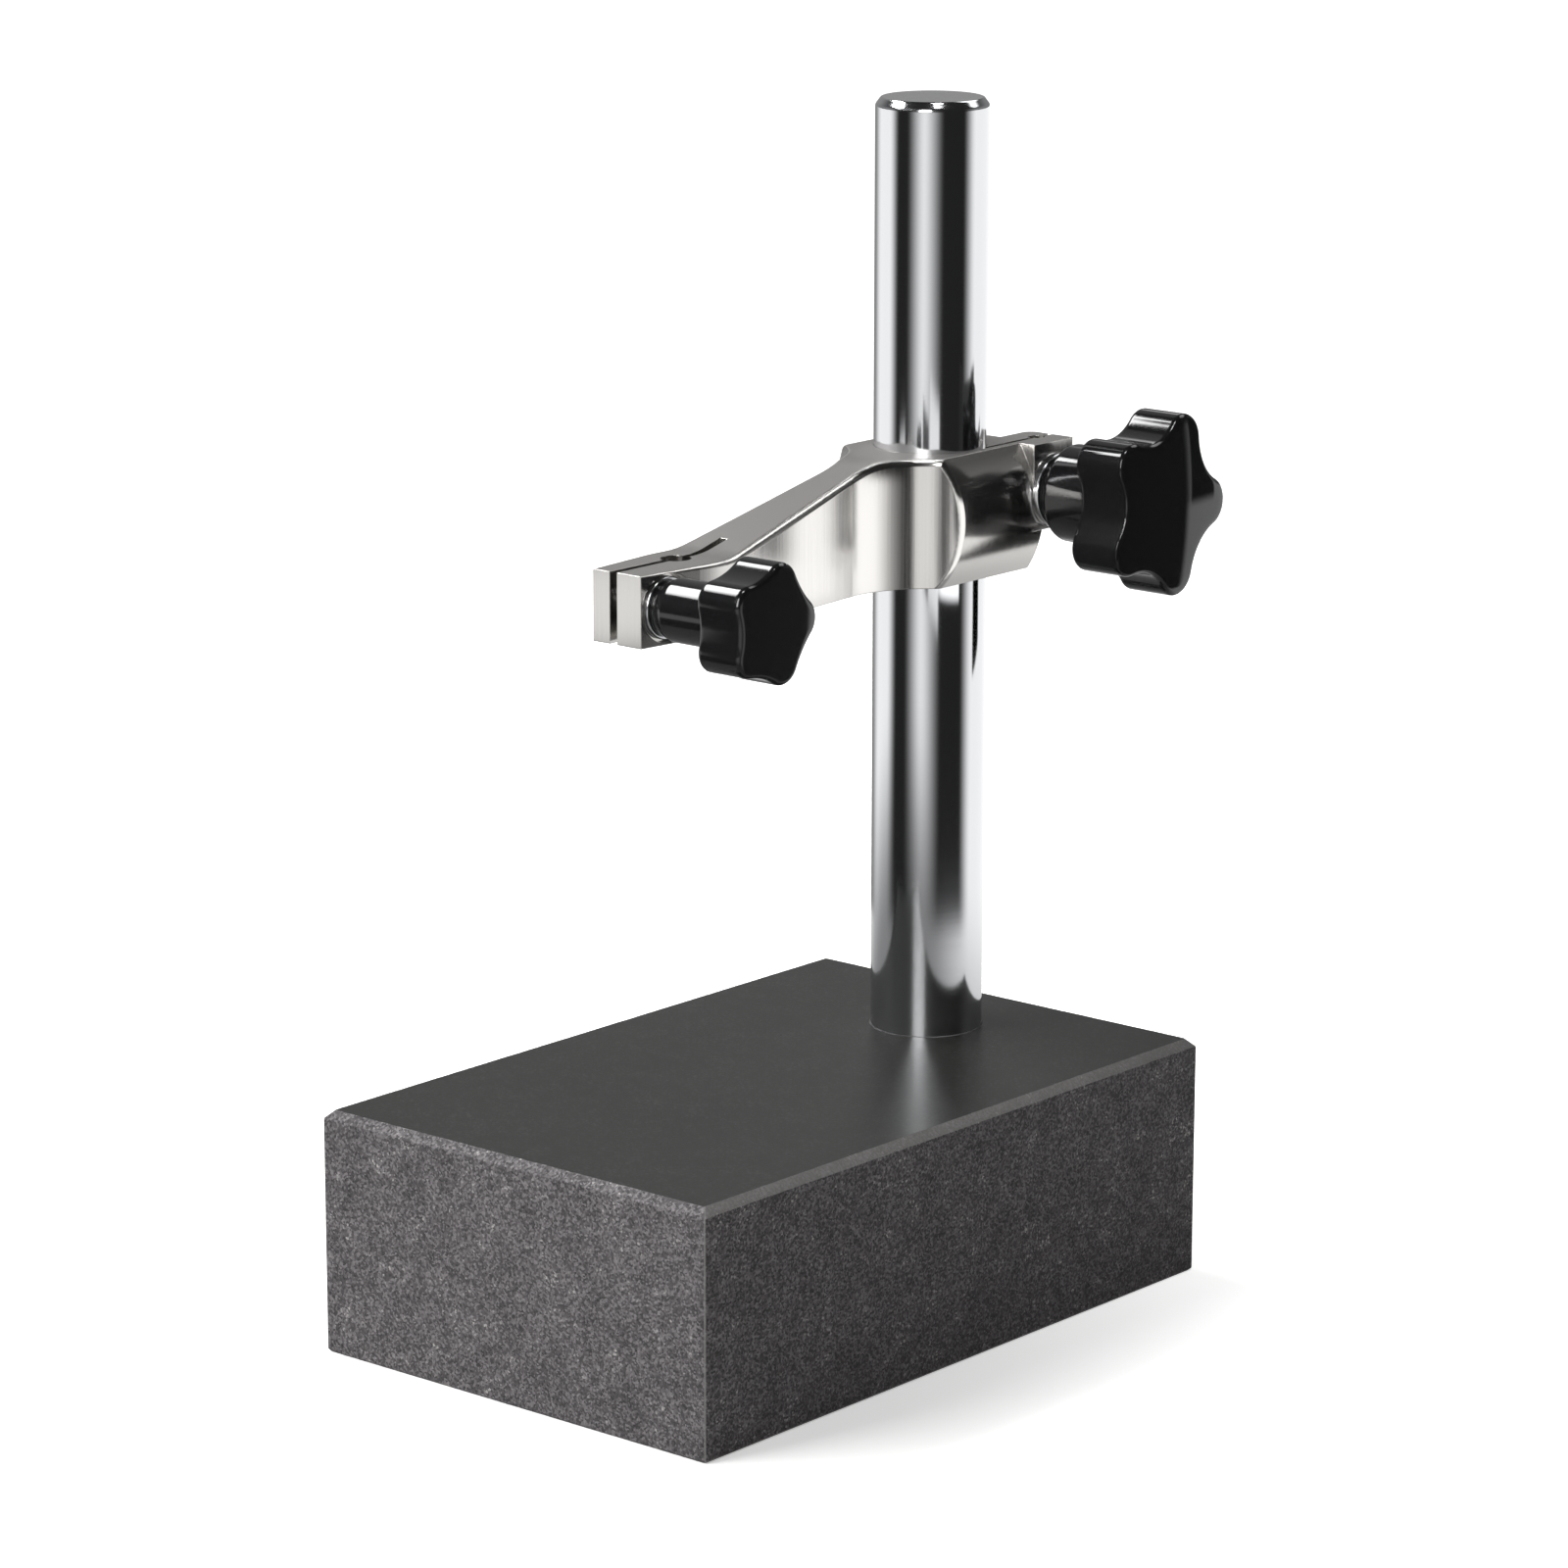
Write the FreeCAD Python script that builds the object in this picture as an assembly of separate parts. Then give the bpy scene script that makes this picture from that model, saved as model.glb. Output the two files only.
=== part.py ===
"""Dial indicator stand: stone base, steel column, cast clamp arm and two star knobs.

Millimetres. X points right, Y points to the back, Z points up.
The origin is the centre of the base's underside.
"""

import FreeCAD, Part
import math
import os

V = FreeCAD.Vector
ALONG_X = V(1, 0, 0)

# Stone base
base_width = 130.0
base_depth = 200.0
base_height = 65.0
base_top_chamfer = 2.2
base_edge_break = 0.7

# Steel column
column_diameter = 30.0
column_standing_length = 250.0
column_top_chamfer = 2.0
column_foot_chamfer = 0.5
column_from_back_edge = 35.0
column_socket_depth = 5.0
running_gap = 0.05

# Screw that holds the column down, from beneath
foot_screw_diameter = 12.0
foot_screw_head_diameter = 18.0
foot_screw_head_height = 12.0
foot_screw_hex = 10.0
foot_screw_hex_depth = 6.0
foot_screw_engagement = 20.0
foot_screw_hole_gap = 0.75
foot_screw_tap_spare = 4.0
counterbore_diameter = 26.0
counterbore_depth = 25.0
foot_washer_diameter = 24.0
foot_washer_thickness = 2.5
lock_washer_diameter = 20.0
lock_washer_thickness = 2.5
lock_washer_split = 1.5

# Clamp arm
arm_underside_above_base = 124.0
hub_height = 34.2
hub_flat_half_width = 16.6
hub_bulge = 5.4
hub_rear_wall = 6.0
block_height = 18.4
block_half_width = 8.0
block_front_to_column = 123.5
cheek_half_width = 10.9
cheek_to_column = 98.0
cheek_radius = 60.0
waist_half_width = 6.0
waist_to_column = 39.0
flare_radius = 25.0
ramp_angle = 14.2
ramp_start_to_column = 91.0
ramp_foot_radius = 30.0
ramp_head_radius = 30.0
arm_front_edge_radius = 0.4
arm_edge_radius = 1.8
arm_edge_grown_length = 48.5
arm_side_margin = 6.0

# Indicator clamp at the arm's front
indicator_bore_diameter = 8.0
indicator_reach = 100.0
front_slit_x = -1.2
front_slit_width = 2.4
front_slit_length = 42.0
spot_face_depth = 0.6
spot_face_radius = 8.9
front_screw_from_end = 9.2

# Clamping lug at the arm's rear
lug_left_x = 7.0
lug_right_x = 21.6
lug_start_y = 17.0
lug_end_y = 33.5
lug_height = 23.2
lug_corner_radius = 3.0
rear_slit_x = 14.0
rear_slit_width = 1.6
rear_screw_y = 26.0
rear_screw_below_top = 13.2
rear_spot_face_radius = 11.0
lug_hole_y = 27.6
lug_hole_diameter = 4.5
lug_hole_depth = 6.5

# Clamp screws, washers and star knobs: column clamp, then indicator clamp
column_stud_diameter = 10.0
column_washer_diameter = 20.0
column_washer_thickness = 2.0
column_knob_diameter = 50.0
column_knob_valley_diameter = 36.6
column_knob_lobe_radius = 6.5
column_knob_height = 36.8
column_star_thickness = 16.5
column_neck_diameter = 26.0
column_neck_end_diameter = 19.0
column_star_phase = -4.0
column_bush_diameter = 16.0
column_bush_length = 20.0
column_stud_tip_in_lug = 4.6

indicator_stud_diameter = 6.0
indicator_washer_diameter = 16.0
indicator_washer_thickness = 1.6
indicator_knob_diameter = 32.0
indicator_knob_valley_diameter = 26.4
indicator_knob_lobe_radius = 5.4
indicator_knob_height = 36.2
indicator_star_thickness = 15.0
indicator_neck_diameter = 16.4
indicator_neck_end_diameter = 14.6
indicator_star_phase = 1.0
indicator_bush_diameter = 10.0
indicator_bush_length = 16.0
indicator_stud_tip_in_jaw = 4.6

neck_end_length = 1.2
neck_flare_length = 3.0
star_rim_radius = 1.0
star_crown = 1.2
stud_past_bush = 4.0
stud_hole_gap = 0.4
lobes = 5

# Places worked out from the sizes above
column_y = base_depth / 2 - column_from_back_edge
column_radius = column_diameter / 2
column_foot_z = base_height - column_socket_depth
column_top_z = base_height + column_standing_length
arm_z = base_height + arm_underside_above_base
hub_top_z = arm_z + hub_height
block_top_z = arm_z + block_height
hub_rear_y = column_y + column_radius + hub_rear_wall
block_front_y = column_y - block_front_to_column
bore_y = column_y - indicator_reach
front_screw_y = block_front_y + front_screw_from_end
front_screw_z = arm_z + block_height / 2
front_seat_x = block_half_width - spot_face_depth
rear_screw_axis_y = column_y + rear_screw_y
rear_screw_z = hub_top_z - rear_screw_below_top


def rod(radius, start, end):
    """A round bar from one point to another."""
    return Part.makeCylinder(radius, (end - start).Length, start, end - start)


def block(low, high):
    """A box given by its lowest and highest corners."""
    size = high - low
    return Part.makeBox(size.x, size.y, size.z, low)


def line(a, b):
    return Part.LineSegment(a, b).toShape()


def arc(a, middle, b):
    return Part.Arc(a, middle, b).toShape()


def turned(x, y, angle, radius):
    """The point at an angle and a distance from a centre in plan."""
    return V(x + radius * math.cos(angle), y + radius * math.sin(angle), 0)


def edges_where(shape, test):
    """The edges whose middle point passes a test."""
    found = []
    for edge in shape.Edges:
        middle = edge.valueAt((edge.FirstParameter + edge.LastParameter) / 2)
        if test(edge, middle):
            found.append(edge)
    return found


def base_outline(inset, z):
    """The block's outline with broken corners, pulled in by an inset, at a height."""
    x = base_width / 2 - inset
    y = base_depth / 2 - inset
    cut = base_edge_break
    corners = [
        V(x, cut - y, z),
        V(x, y - cut, z),
        V(x - cut, y, z),
        V(cut - x, y, z),
        V(-x, y - cut, z),
        V(-x, cut - y, z),
        V(cut - x, -y, z),
        V(x - cut, -y, z),
    ]
    return Part.makePolygon(corners + corners[:1])


def granite_base():
    """The stone block, with the column's socket and the screw's counterbore."""
    outlines = [
        base_outline(base_edge_break, 0),
        base_outline(0, base_edge_break),
        base_outline(0, base_height - base_top_chamfer),
        base_outline(base_top_chamfer, base_height),
    ]
    stone = Part.makeLoft(outlines, True, True)
    axis = V(0, column_y, 0)
    socket_radius = column_radius + running_gap
    socket = rod(socket_radius, axis + V(0, 0, column_foot_z), axis + V(0, 0, base_height + 1))
    hole_radius = foot_screw_diameter / 2 + foot_screw_hole_gap
    hole = rod(hole_radius, axis - V(0, 0, 1), axis + V(0, 0, base_height))
    recess = rod(counterbore_diameter / 2, axis - V(0, 0, 1), axis + V(0, 0, counterbore_depth))
    return stone.cut(socket).cut(hole).cut(recess)


def column():
    """The ground steel column, tapped at its foot."""
    axis = V(0, column_y, 0)
    bar = rod(column_radius, axis + V(0, 0, column_foot_z), axis + V(0, 0, column_top_z))
    top = edges_where(bar, lambda e, m: m.z > column_top_z - 0.01)
    bar = bar.makeChamfer(column_top_chamfer, top)
    foot = edges_where(bar, lambda e, m: m.z < column_foot_z + 0.01)
    bar = bar.makeChamfer(column_foot_chamfer, foot)
    tap_radius = foot_screw_diameter / 2 + running_gap
    tap_depth = foot_screw_engagement + foot_screw_tap_spare
    tap = rod(tap_radius, axis + V(0, 0, column_foot_z - 1), axis + V(0, 0, column_foot_z + tap_depth))
    return bar.cut(tap)


def foot_washer():
    """The flat washer on the counterbore's roof."""
    axis = V(0, column_y, 0)
    low_z = counterbore_depth - foot_washer_thickness
    disc = rod(foot_washer_diameter / 2, axis + V(0, 0, low_z), axis + V(0, 0, counterbore_depth))
    hole_radius = foot_screw_diameter / 2 + foot_screw_hole_gap
    return disc.cut(rod(hole_radius, axis, axis + V(0, 0, counterbore_depth + 1)))


def foot_lock_washer():
    """The split spring washer under the screw's head."""
    axis = V(0, column_y, 0)
    high_z = counterbore_depth - foot_washer_thickness
    low_z = high_z - lock_washer_thickness
    ring = rod(lock_washer_diameter / 2, axis + V(0, 0, low_z), axis + V(0, 0, high_z))
    hole_radius = foot_screw_diameter / 2 + foot_screw_hole_gap / 2
    ring = ring.cut(rod(hole_radius, axis, axis + V(0, 0, high_z + 1)))
    half = lock_washer_split / 2
    split = block(V(0, column_y - half, low_z - 1), V(lock_washer_diameter, column_y + half, high_z + 1))
    return ring.cut(split)


def foot_screw():
    """The socket head screw that draws the column down on to the stone."""
    axis = V(0, column_y, 0)
    head_top_z = counterbore_depth - foot_washer_thickness - lock_washer_thickness
    head_low_z = head_top_z - foot_screw_head_height
    tip_z = column_foot_z + foot_screw_engagement
    head = rod(foot_screw_head_diameter / 2, axis + V(0, 0, head_low_z), axis + V(0, 0, head_top_z))
    rim = edges_where(head, lambda e, m: m.z < head_low_z + 0.01)
    head = head.makeChamfer(base_edge_break, rim)
    shank = rod(foot_screw_diameter / 2, axis + V(0, 0, head_low_z), axis + V(0, 0, tip_z))
    tip = edges_where(shank, lambda e, m: m.z > tip_z - 0.01)
    shank = shank.makeChamfer(base_edge_break, tip)
    corners = []
    corner_radius = foot_screw_hex / 2 / math.cos(math.pi / 6)
    for step in range(7):
        corners.append(turned(0, column_y, step * math.pi / 3, corner_radius) + V(0, 0, head_low_z))
    socket = Part.Face(Part.makePolygon(corners)).extrude(V(0, 0, foot_screw_hex_depth))
    return head.fuse(shank).removeSplitter().cut(socket)


def arm_side():
    """Points along one side of the arm in plan, from its front corner to the hub's rear."""
    cheek_y = column_y - cheek_to_column
    waist_y = column_y - waist_to_column
    widen = math.atan2(cheek_half_width - block_half_width, cheek_y - block_front_y)
    taper = math.atan2(cheek_half_width - waist_half_width, waist_y - cheek_y)
    turn = (widen + taper) / 2
    tangent = cheek_radius * math.tan(turn)
    sag = cheek_radius * (1 / math.cos(turn) - 1)
    lean = (taper - widen) / 2
    centre_x = waist_half_width + flare_radius * math.cos(taper)
    centre_y = waist_y + flare_radius * math.sin(taper)
    side_x = hub_flat_half_width + hub_bulge + arm_side_margin
    start = math.pi + taper
    stop = math.acos((side_x - centre_x) / flare_radius)
    return [
        V(block_half_width, block_front_y, 0),
        V(cheek_half_width - tangent * math.sin(widen), cheek_y - tangent * math.cos(widen), 0),
        V(cheek_half_width - sag * math.cos(lean), cheek_y - sag * math.sin(lean), 0),
        V(cheek_half_width - tangent * math.sin(taper), cheek_y + tangent * math.cos(taper), 0),
        V(waist_half_width, waist_y, 0),
        turned(centre_x, centre_y, (start + stop) / 2, flare_radius),
        turned(centre_x, centre_y, stop, flare_radius),
        V(side_x, hub_rear_y, 0),
    ]


def arm_plan():
    """The arm's outline seen from above, as a closed wire."""
    points = arm_side()
    mirrored = [V(-p.x, p.y, 0) for p in points]
    edges = [line(mirrored[0], points[0])]
    for side in (points, mirrored):
        edges.append(line(side[0], side[1]))
        edges.append(arc(side[1], side[2], side[3]))
        edges.append(line(side[3], side[4]))
        edges.append(arc(side[4], side[5], side[6]))
        edges.append(line(side[6], side[7]))
    edges.append(line(points[-1], mirrored[-1]))
    return Part.Wire(Part.__sortEdges__(edges))


def arm_profile():
    """The arm's outline seen from the side, as a closed wire in the plane X = 0."""
    slope = math.radians(ramp_angle)
    foot_y = column_y - ramp_start_to_column
    rise = hub_height - block_height
    head_y = foot_y + rise / math.tan(slope)
    foot_tangent = ramp_foot_radius * math.tan(slope / 2)
    head_tangent = ramp_head_radius * math.tan(slope / 2)
    sag_foot = ramp_foot_radius * (1 - math.cos(slope / 2))
    sag_head = ramp_head_radius * (1 - math.cos(slope / 2))
    half_foot = ramp_foot_radius * math.sin(slope / 2)
    half_head = ramp_head_radius * math.sin(slope / 2)
    front_low = V(0, block_front_y, arm_z)
    front_high = V(0, block_front_y, block_top_z)
    foot_in = V(0, foot_y - foot_tangent, block_top_z)
    foot_middle = V(0, foot_in.y + half_foot, block_top_z + sag_foot)
    foot_out = V(0, foot_y + foot_tangent * math.cos(slope), block_top_z + foot_tangent * math.sin(slope))
    head_in = V(0, head_y - head_tangent * math.cos(slope), hub_top_z - head_tangent * math.sin(slope))
    head_out = V(0, head_y + head_tangent, hub_top_z)
    head_middle = V(0, head_out.y - half_head, hub_top_z - sag_head)
    rear_high = V(0, hub_rear_y, hub_top_z)
    rear_low = V(0, hub_rear_y, arm_z)
    edges = [
        line(front_low, front_high),
        line(front_high, foot_in),
        arc(foot_in, foot_middle, foot_out),
        line(foot_out, head_in),
        arc(head_in, head_middle, head_out),
        line(head_out, rear_high),
        line(rear_high, rear_low),
        line(rear_low, front_low),
    ]
    return Part.Wire(edges)


def hub_section():
    """The hub's outline seen from the front: flat top and bottom, bulging sides."""
    middle_z = (arm_z + hub_top_z) / 2
    flat = hub_flat_half_width
    wide = flat + hub_bulge
    low_left = V(-flat, 0, arm_z)
    low_right = V(flat, 0, arm_z)
    high_right = V(flat, 0, hub_top_z)
    high_left = V(-flat, 0, hub_top_z)
    edges = [
        line(low_left, low_right),
        arc(low_right, V(wide, 0, middle_z), high_right),
        line(high_right, high_left),
        arc(high_left, V(-wide, 0, middle_z), low_left),
    ]
    return Part.Wire(edges)


def arm_body():
    """The arm's outer form: plan, side profile and hub section in common."""
    reach = base_width
    plan = Part.Face(arm_plan()).extrude(V(0, 0, hub_top_z + 1))
    profile = Part.Face(arm_profile())
    profile.translate(V(-reach / 2, 0, 0))
    profile = profile.extrude(V(reach, 0, 0))
    section = Part.Face(hub_section())
    section.translate(V(0, block_front_y - 1, 0))
    section = section.extrude(V(0, hub_rear_y - block_front_y + 2, 0))
    return plan.common(profile).common(section)


def rear_lug():
    """The block beside the slit that the column clamp screw closes."""
    low = V(lug_left_x, column_y + lug_start_y, hub_top_z - lug_height)
    high = V(lug_right_x, column_y + lug_end_y, hub_top_z)
    lug = block(low, high)
    rear_uprights = edges_where(
        lug, lambda e, m: abs(m.z - (low.z + high.z) / 2) < 1 and m.y > high.y - 0.01 and m.x < low.x + 0.01
    )
    return lug.makeFillet(lug_corner_radius, rear_uprights)


def clamp_arm():
    """The one-piece arm with both clamps' bores, slits and screw holes."""
    arm = arm_body()
    arm = rounded(arm).fuse(rear_lug()).removeSplitter()
    arm = arm.cut(column_hole())
    for cutter in front_clamp_cuts() + rear_clamp_cuts():
        arm = arm.cut(cutter)
    return arm


def rounded(arm):
    """The arm with its long top edges and the hub's front upright edges rounded.

    The top edges' radius grows from the front face to the ramp.
    """
    document = FreeCAD.newDocument("arm")
    sharp = document.addObject("Part::Feature", "sharp")
    sharp.Shape = arm
    fillet = document.addObject("Part::Fillet", "fillet")
    fillet.Base = sharp
    radii = []
    for number, edge in enumerate(arm.Edges, 1):
        middle = edge.valueAt((edge.FirstParameter + edge.LastParameter) / 2)
        if is_arm_top_edge(middle):
            ends = sorted(edge_radius(edge.valueAt(p).y) for p in (edge.FirstParameter, edge.LastParameter))
            radii.append((number, ends[0], ends[1]))
        elif is_hub_front_upright(middle):
            radii.append((number, arm_edge_radius, arm_edge_radius))
    fillet.Edges = radii
    document.recompute()
    return fillet.Shape


def edge_radius(y):
    """The top edges' radius at a distance along the arm."""
    share = min(1, max(0, (y - block_front_y) / arm_edge_grown_length))
    return arm_front_edge_radius + share * (arm_edge_radius - arm_front_edge_radius)


def is_arm_top_edge(middle):
    """True for the long side edges of the arm's top, from the block to the hub."""
    if middle.y < block_front_y + 1 or middle.y > column_y - column_radius:
        return False
    return middle.z > block_top_z - 0.01 and abs(middle.x) > waist_half_width / 2


def is_hub_front_upright(middle):
    """True for the two upright edges where the arm's flare meets the hub's round sides."""
    half_height = abs(middle.z - (arm_z + hub_top_z) / 2)
    return abs(middle.x) > hub_flat_half_width and middle.y < column_y and half_height < hub_height / 4


def column_hole():
    axis = V(0, column_y, 0)
    return rod(column_radius + running_gap, axis + V(0, 0, arm_z - 1), axis + V(0, 0, hub_top_z + 1))


def front_clamp_cuts():
    """Indicator bore, slit, spot face and screw holes at the arm's front."""
    low_z = arm_z - 1
    high_z = hub_top_z + 1
    bore = rod(indicator_bore_diameter / 2, V(front_slit_x, bore_y, low_z), V(front_slit_x, bore_y, high_z))
    half = front_slit_width / 2
    slit_end = block_front_y + front_slit_length
    slit = block(V(front_slit_x - half, block_front_y - 1, low_z), V(front_slit_x + half, slit_end, high_z))
    seat = V(front_seat_x, front_screw_y, front_screw_z)
    spot = rod(spot_face_radius, seat, seat + ALONG_X * arm_side_margin)
    tip = V(-block_half_width - 1, front_screw_y, front_screw_z)
    stud_radius = indicator_stud_diameter / 2
    tapped = rod(stud_radius + running_gap, tip, seat)
    clear = rod(stud_radius + stud_hole_gap, V(front_slit_x, front_screw_y, front_screw_z), seat + ALONG_X)
    return [bore, slit, spot, tapped, clear]


def rear_clamp_cuts():
    """Slit, spot face, screw holes and the small top hole of the rear lug."""
    half = rear_slit_width / 2
    end_y = column_y + lug_end_y + 1
    slit = block(V(rear_slit_x - half, column_y, arm_z - 1), V(rear_slit_x + half, end_y, hub_top_z + 1))
    seat = V(lug_right_x, rear_screw_axis_y, rear_screw_z)
    spot = rod(rear_spot_face_radius, seat, seat + ALONG_X * arm_side_margin)
    tip = V(lug_left_x - 1, rear_screw_axis_y, rear_screw_z)
    stud_radius = column_stud_diameter / 2
    tapped = rod(stud_radius + running_gap, tip, seat)
    clear = rod(stud_radius + stud_hole_gap, V(rear_slit_x, rear_screw_axis_y, rear_screw_z), seat + ALONG_X)
    top = V(rear_slit_x, column_y + lug_hole_y, hub_top_z)
    hole = rod(lug_hole_diameter / 2, top - V(0, 0, lug_hole_depth), top + V(0, 0, 1))
    return [slit, spot, tapped, clear, hole]


def star_face(outer_radius, valley_radius, lobe_radius, phase):
    """A closed outline of round lobes and hollow valleys, in the plane X = 0."""
    half_step = math.pi / lobes
    out = outer_radius - lobe_radius
    cosine = math.cos(half_step)
    above = out ** 2 + valley_radius ** 2 - 2 * out * valley_radius * cosine - lobe_radius ** 2
    below = 2 * lobe_radius + 2 * out * cosine - 2 * valley_radius
    hollow_radius = above / below
    far = valley_radius + hollow_radius

    def place(angle, distance):
        return V(0, distance * math.cos(angle), distance * math.sin(angle))

    edges = []
    for number in range(lobes):
        angle = math.radians(phase) + 2 * half_step * number
        lobe = place(angle, out)
        before = place(angle - half_step, far)
        after = place(angle + half_step, far)
        following = place(angle + 2 * half_step, out)
        share = lobe_radius / (lobe_radius + hollow_radius)
        start = lobe + (before - lobe) * share
        end = lobe + (after - lobe) * share
        next_start = following + (after - following) * share
        edges.append(arc(start, place(angle, outer_radius), end))
        edges.append(arc(end, place(angle + half_step, valley_radius), next_start))
    return Part.Face(Part.Wire(edges))


def star_knob(sizes):
    """A moulded star knob on a neck, standing along +X from X = 0, with its bush's socket."""
    star_back = sizes["height"] - sizes["star"]
    star = star_face(sizes["outer"] / 2, sizes["valley"] / 2, sizes["lobe"], sizes["phase"])
    star.translate(V(star_back, 0, 0))
    star = star.extrude(V(sizes["star"], 0, 0))
    dome_radius = ((sizes["outer"] / 2) ** 2 + star_crown ** 2) / (2 * star_crown)
    dome = Part.makeSphere(dome_radius, V(sizes["height"] - dome_radius, 0, 0))
    star = star.common(dome)
    rims = edges_where(star, lambda e, m: not is_straight_along_x(e))
    star = star.makeFillet(star_rim_radius, rims)
    end_radius = sizes["neck_end"] / 2
    neck_radius = sizes["neck"] / 2
    end_disc = rod(end_radius, V(0, 0, 0), V(neck_end_length, 0, 0))
    flare = Part.makeCone(end_radius, neck_radius, neck_flare_length, V(neck_end_length, 0, 0), ALONG_X)
    neck = rod(neck_radius, V(neck_end_length + neck_flare_length, 0, 0), V(star_back + 2, 0, 0))
    knob = star.fuse([end_disc, flare, neck]).removeSplitter()
    bush_room = rod(sizes["bush"] / 2, V(-1, 0, 0), V(sizes["bush_length"], 0, 0))
    stud_room = rod(sizes["stud"] / 2, V(-1, 0, 0), V(sizes["bush_length"] + stud_past_bush, 0, 0))
    return knob.cut(bush_room).cut(stud_room)


def is_straight_along_x(edge):
    return abs(edge.Curve.Direction.x) > 0.99 if isinstance(edge.Curve, Part.Line) else False


def bush(sizes):
    """The threaded metal bush moulded into the knob."""
    body = rod(sizes["bush"] / 2, V(0, 0, 0), V(sizes["bush_length"], 0, 0))
    return body.cut(rod(sizes["stud"] / 2, V(-1, 0, 0), V(sizes["bush_length"] + 1, 0, 0)))


def stud(sizes):
    """The threaded stud fixed in the bush, with a broken edge at its tip."""
    start = V(-sizes["stud_out"], 0, 0)
    bar = rod(sizes["stud"] / 2, start, V(sizes["bush_length"] + stud_past_bush, 0, 0))
    tip = edges_where(bar, lambda e, m: m.x < start.x + 0.01)
    return bar.makeChamfer(base_edge_break, tip)


def washer(sizes):
    """The flat washer between knob and arm, seated on the arm's face."""
    thickness = sizes["washer_thickness"]
    disc = rod(sizes["washer"] / 2, V(-thickness, 0, 0), V(0, 0, 0))
    return disc.cut(rod(sizes["stud"] / 2 + stud_hole_gap, V(-thickness - 1, 0, 0), V(1, 0, 0)))


def column_clamp_sizes():
    """Sizes and seat of the knob that clamps the arm on the column."""
    tip_x = lug_left_x + rear_jaw_depth() - column_stud_tip_in_lug
    knob_x = lug_right_x + column_washer_thickness
    return {
        "outer": column_knob_diameter,
        "valley": column_knob_valley_diameter,
        "lobe": column_knob_lobe_radius,
        "phase": column_star_phase,
        "height": column_knob_height,
        "star": column_star_thickness,
        "neck": column_neck_diameter,
        "neck_end": column_neck_end_diameter,
        "bush": column_bush_diameter,
        "bush_length": column_bush_length,
        "stud": column_stud_diameter,
        "stud_out": knob_x - tip_x,
        "washer": column_washer_diameter,
        "washer_thickness": column_washer_thickness,
        "seat": V(knob_x, rear_screw_axis_y, rear_screw_z),
    }


def rear_jaw_depth():
    return rear_slit_x - rear_slit_width / 2 - lug_left_x


def indicator_clamp_sizes():
    """Sizes and seat of the knob that clamps the indicator's stem."""
    tip_x = front_slit_x - front_slit_width / 2 - indicator_stud_tip_in_jaw
    knob_x = front_seat_x + indicator_washer_thickness
    return {
        "outer": indicator_knob_diameter,
        "valley": indicator_knob_valley_diameter,
        "lobe": indicator_knob_lobe_radius,
        "phase": indicator_star_phase,
        "height": indicator_knob_height,
        "star": indicator_star_thickness,
        "neck": indicator_neck_diameter,
        "neck_end": indicator_neck_end_diameter,
        "bush": indicator_bush_diameter,
        "bush_length": indicator_bush_length,
        "stud": indicator_stud_diameter,
        "stud_out": knob_x - tip_x,
        "washer": indicator_washer_diameter,
        "washer_thickness": indicator_washer_thickness,
        "seat": V(knob_x, front_screw_y, front_screw_z),
    }


def placed(shape, seat):
    moved = shape.copy()
    moved.translate(seat)
    return moved


def save(name, shape):
    solid = shape.removeSplitter() if shape.ShapeType == "Compound" else shape
    if len(solid.Solids) != 1 or not solid.isValid():
        raise RuntimeError(name + " is not one valid solid")
    solid.Solids[0].exportStep("parts/" + name + ".step")
    print(name, round(solid.Volume / 1000, 2), "cm3")


def main():
    os.makedirs("parts", exist_ok=True)
    save("granite_base", granite_base())
    save("column", column())
    save("column_foot_screw", foot_screw())
    save("column_foot_lock_washer", foot_lock_washer())
    save("column_foot_washer", foot_washer())
    save("clamp_arm", clamp_arm())
    for prefix, sizes in (("column_clamp", column_clamp_sizes()), ("indicator_clamp", indicator_clamp_sizes())):
        save(prefix + "_washer", placed(washer(sizes), sizes["seat"]))
        save(prefix + "_knob", placed(star_knob(sizes), sizes["seat"]))
        save(prefix + "_bush", placed(bush(sizes), sizes["seat"]))
        save(prefix + "_stud", placed(stud(sizes), sizes["seat"]))


main()
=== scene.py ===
"""Looks of a dial indicator stand: lapped stone, ground column, plated casting and moulded star knobs.

Metres throughout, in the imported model's own frame. X points right, Y to the back, Z up.
"""

import math

import bmesh
import bpy
from bpy.props import FloatProperty, FloatVectorProperty, IntProperty, PointerProperty
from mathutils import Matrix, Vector, noise


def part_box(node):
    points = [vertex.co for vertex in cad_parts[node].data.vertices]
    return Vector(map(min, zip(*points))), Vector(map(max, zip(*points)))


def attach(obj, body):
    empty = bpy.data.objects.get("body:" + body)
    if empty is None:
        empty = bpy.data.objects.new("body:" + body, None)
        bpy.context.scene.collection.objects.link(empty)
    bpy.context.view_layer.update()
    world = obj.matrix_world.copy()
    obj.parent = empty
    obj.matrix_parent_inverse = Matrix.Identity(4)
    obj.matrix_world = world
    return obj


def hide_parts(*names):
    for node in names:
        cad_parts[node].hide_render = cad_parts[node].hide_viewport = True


bl_info = {
    "name": "Dial Indicator Stand",
    "version": (1, 0, 0),
    "blender": (4, 5, 0),
    "location": "View3D > Sidebar > Stand",
    "description": "Builds the looks of a dial indicator stand around its packed model",
    "category": "Object",
}

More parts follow.
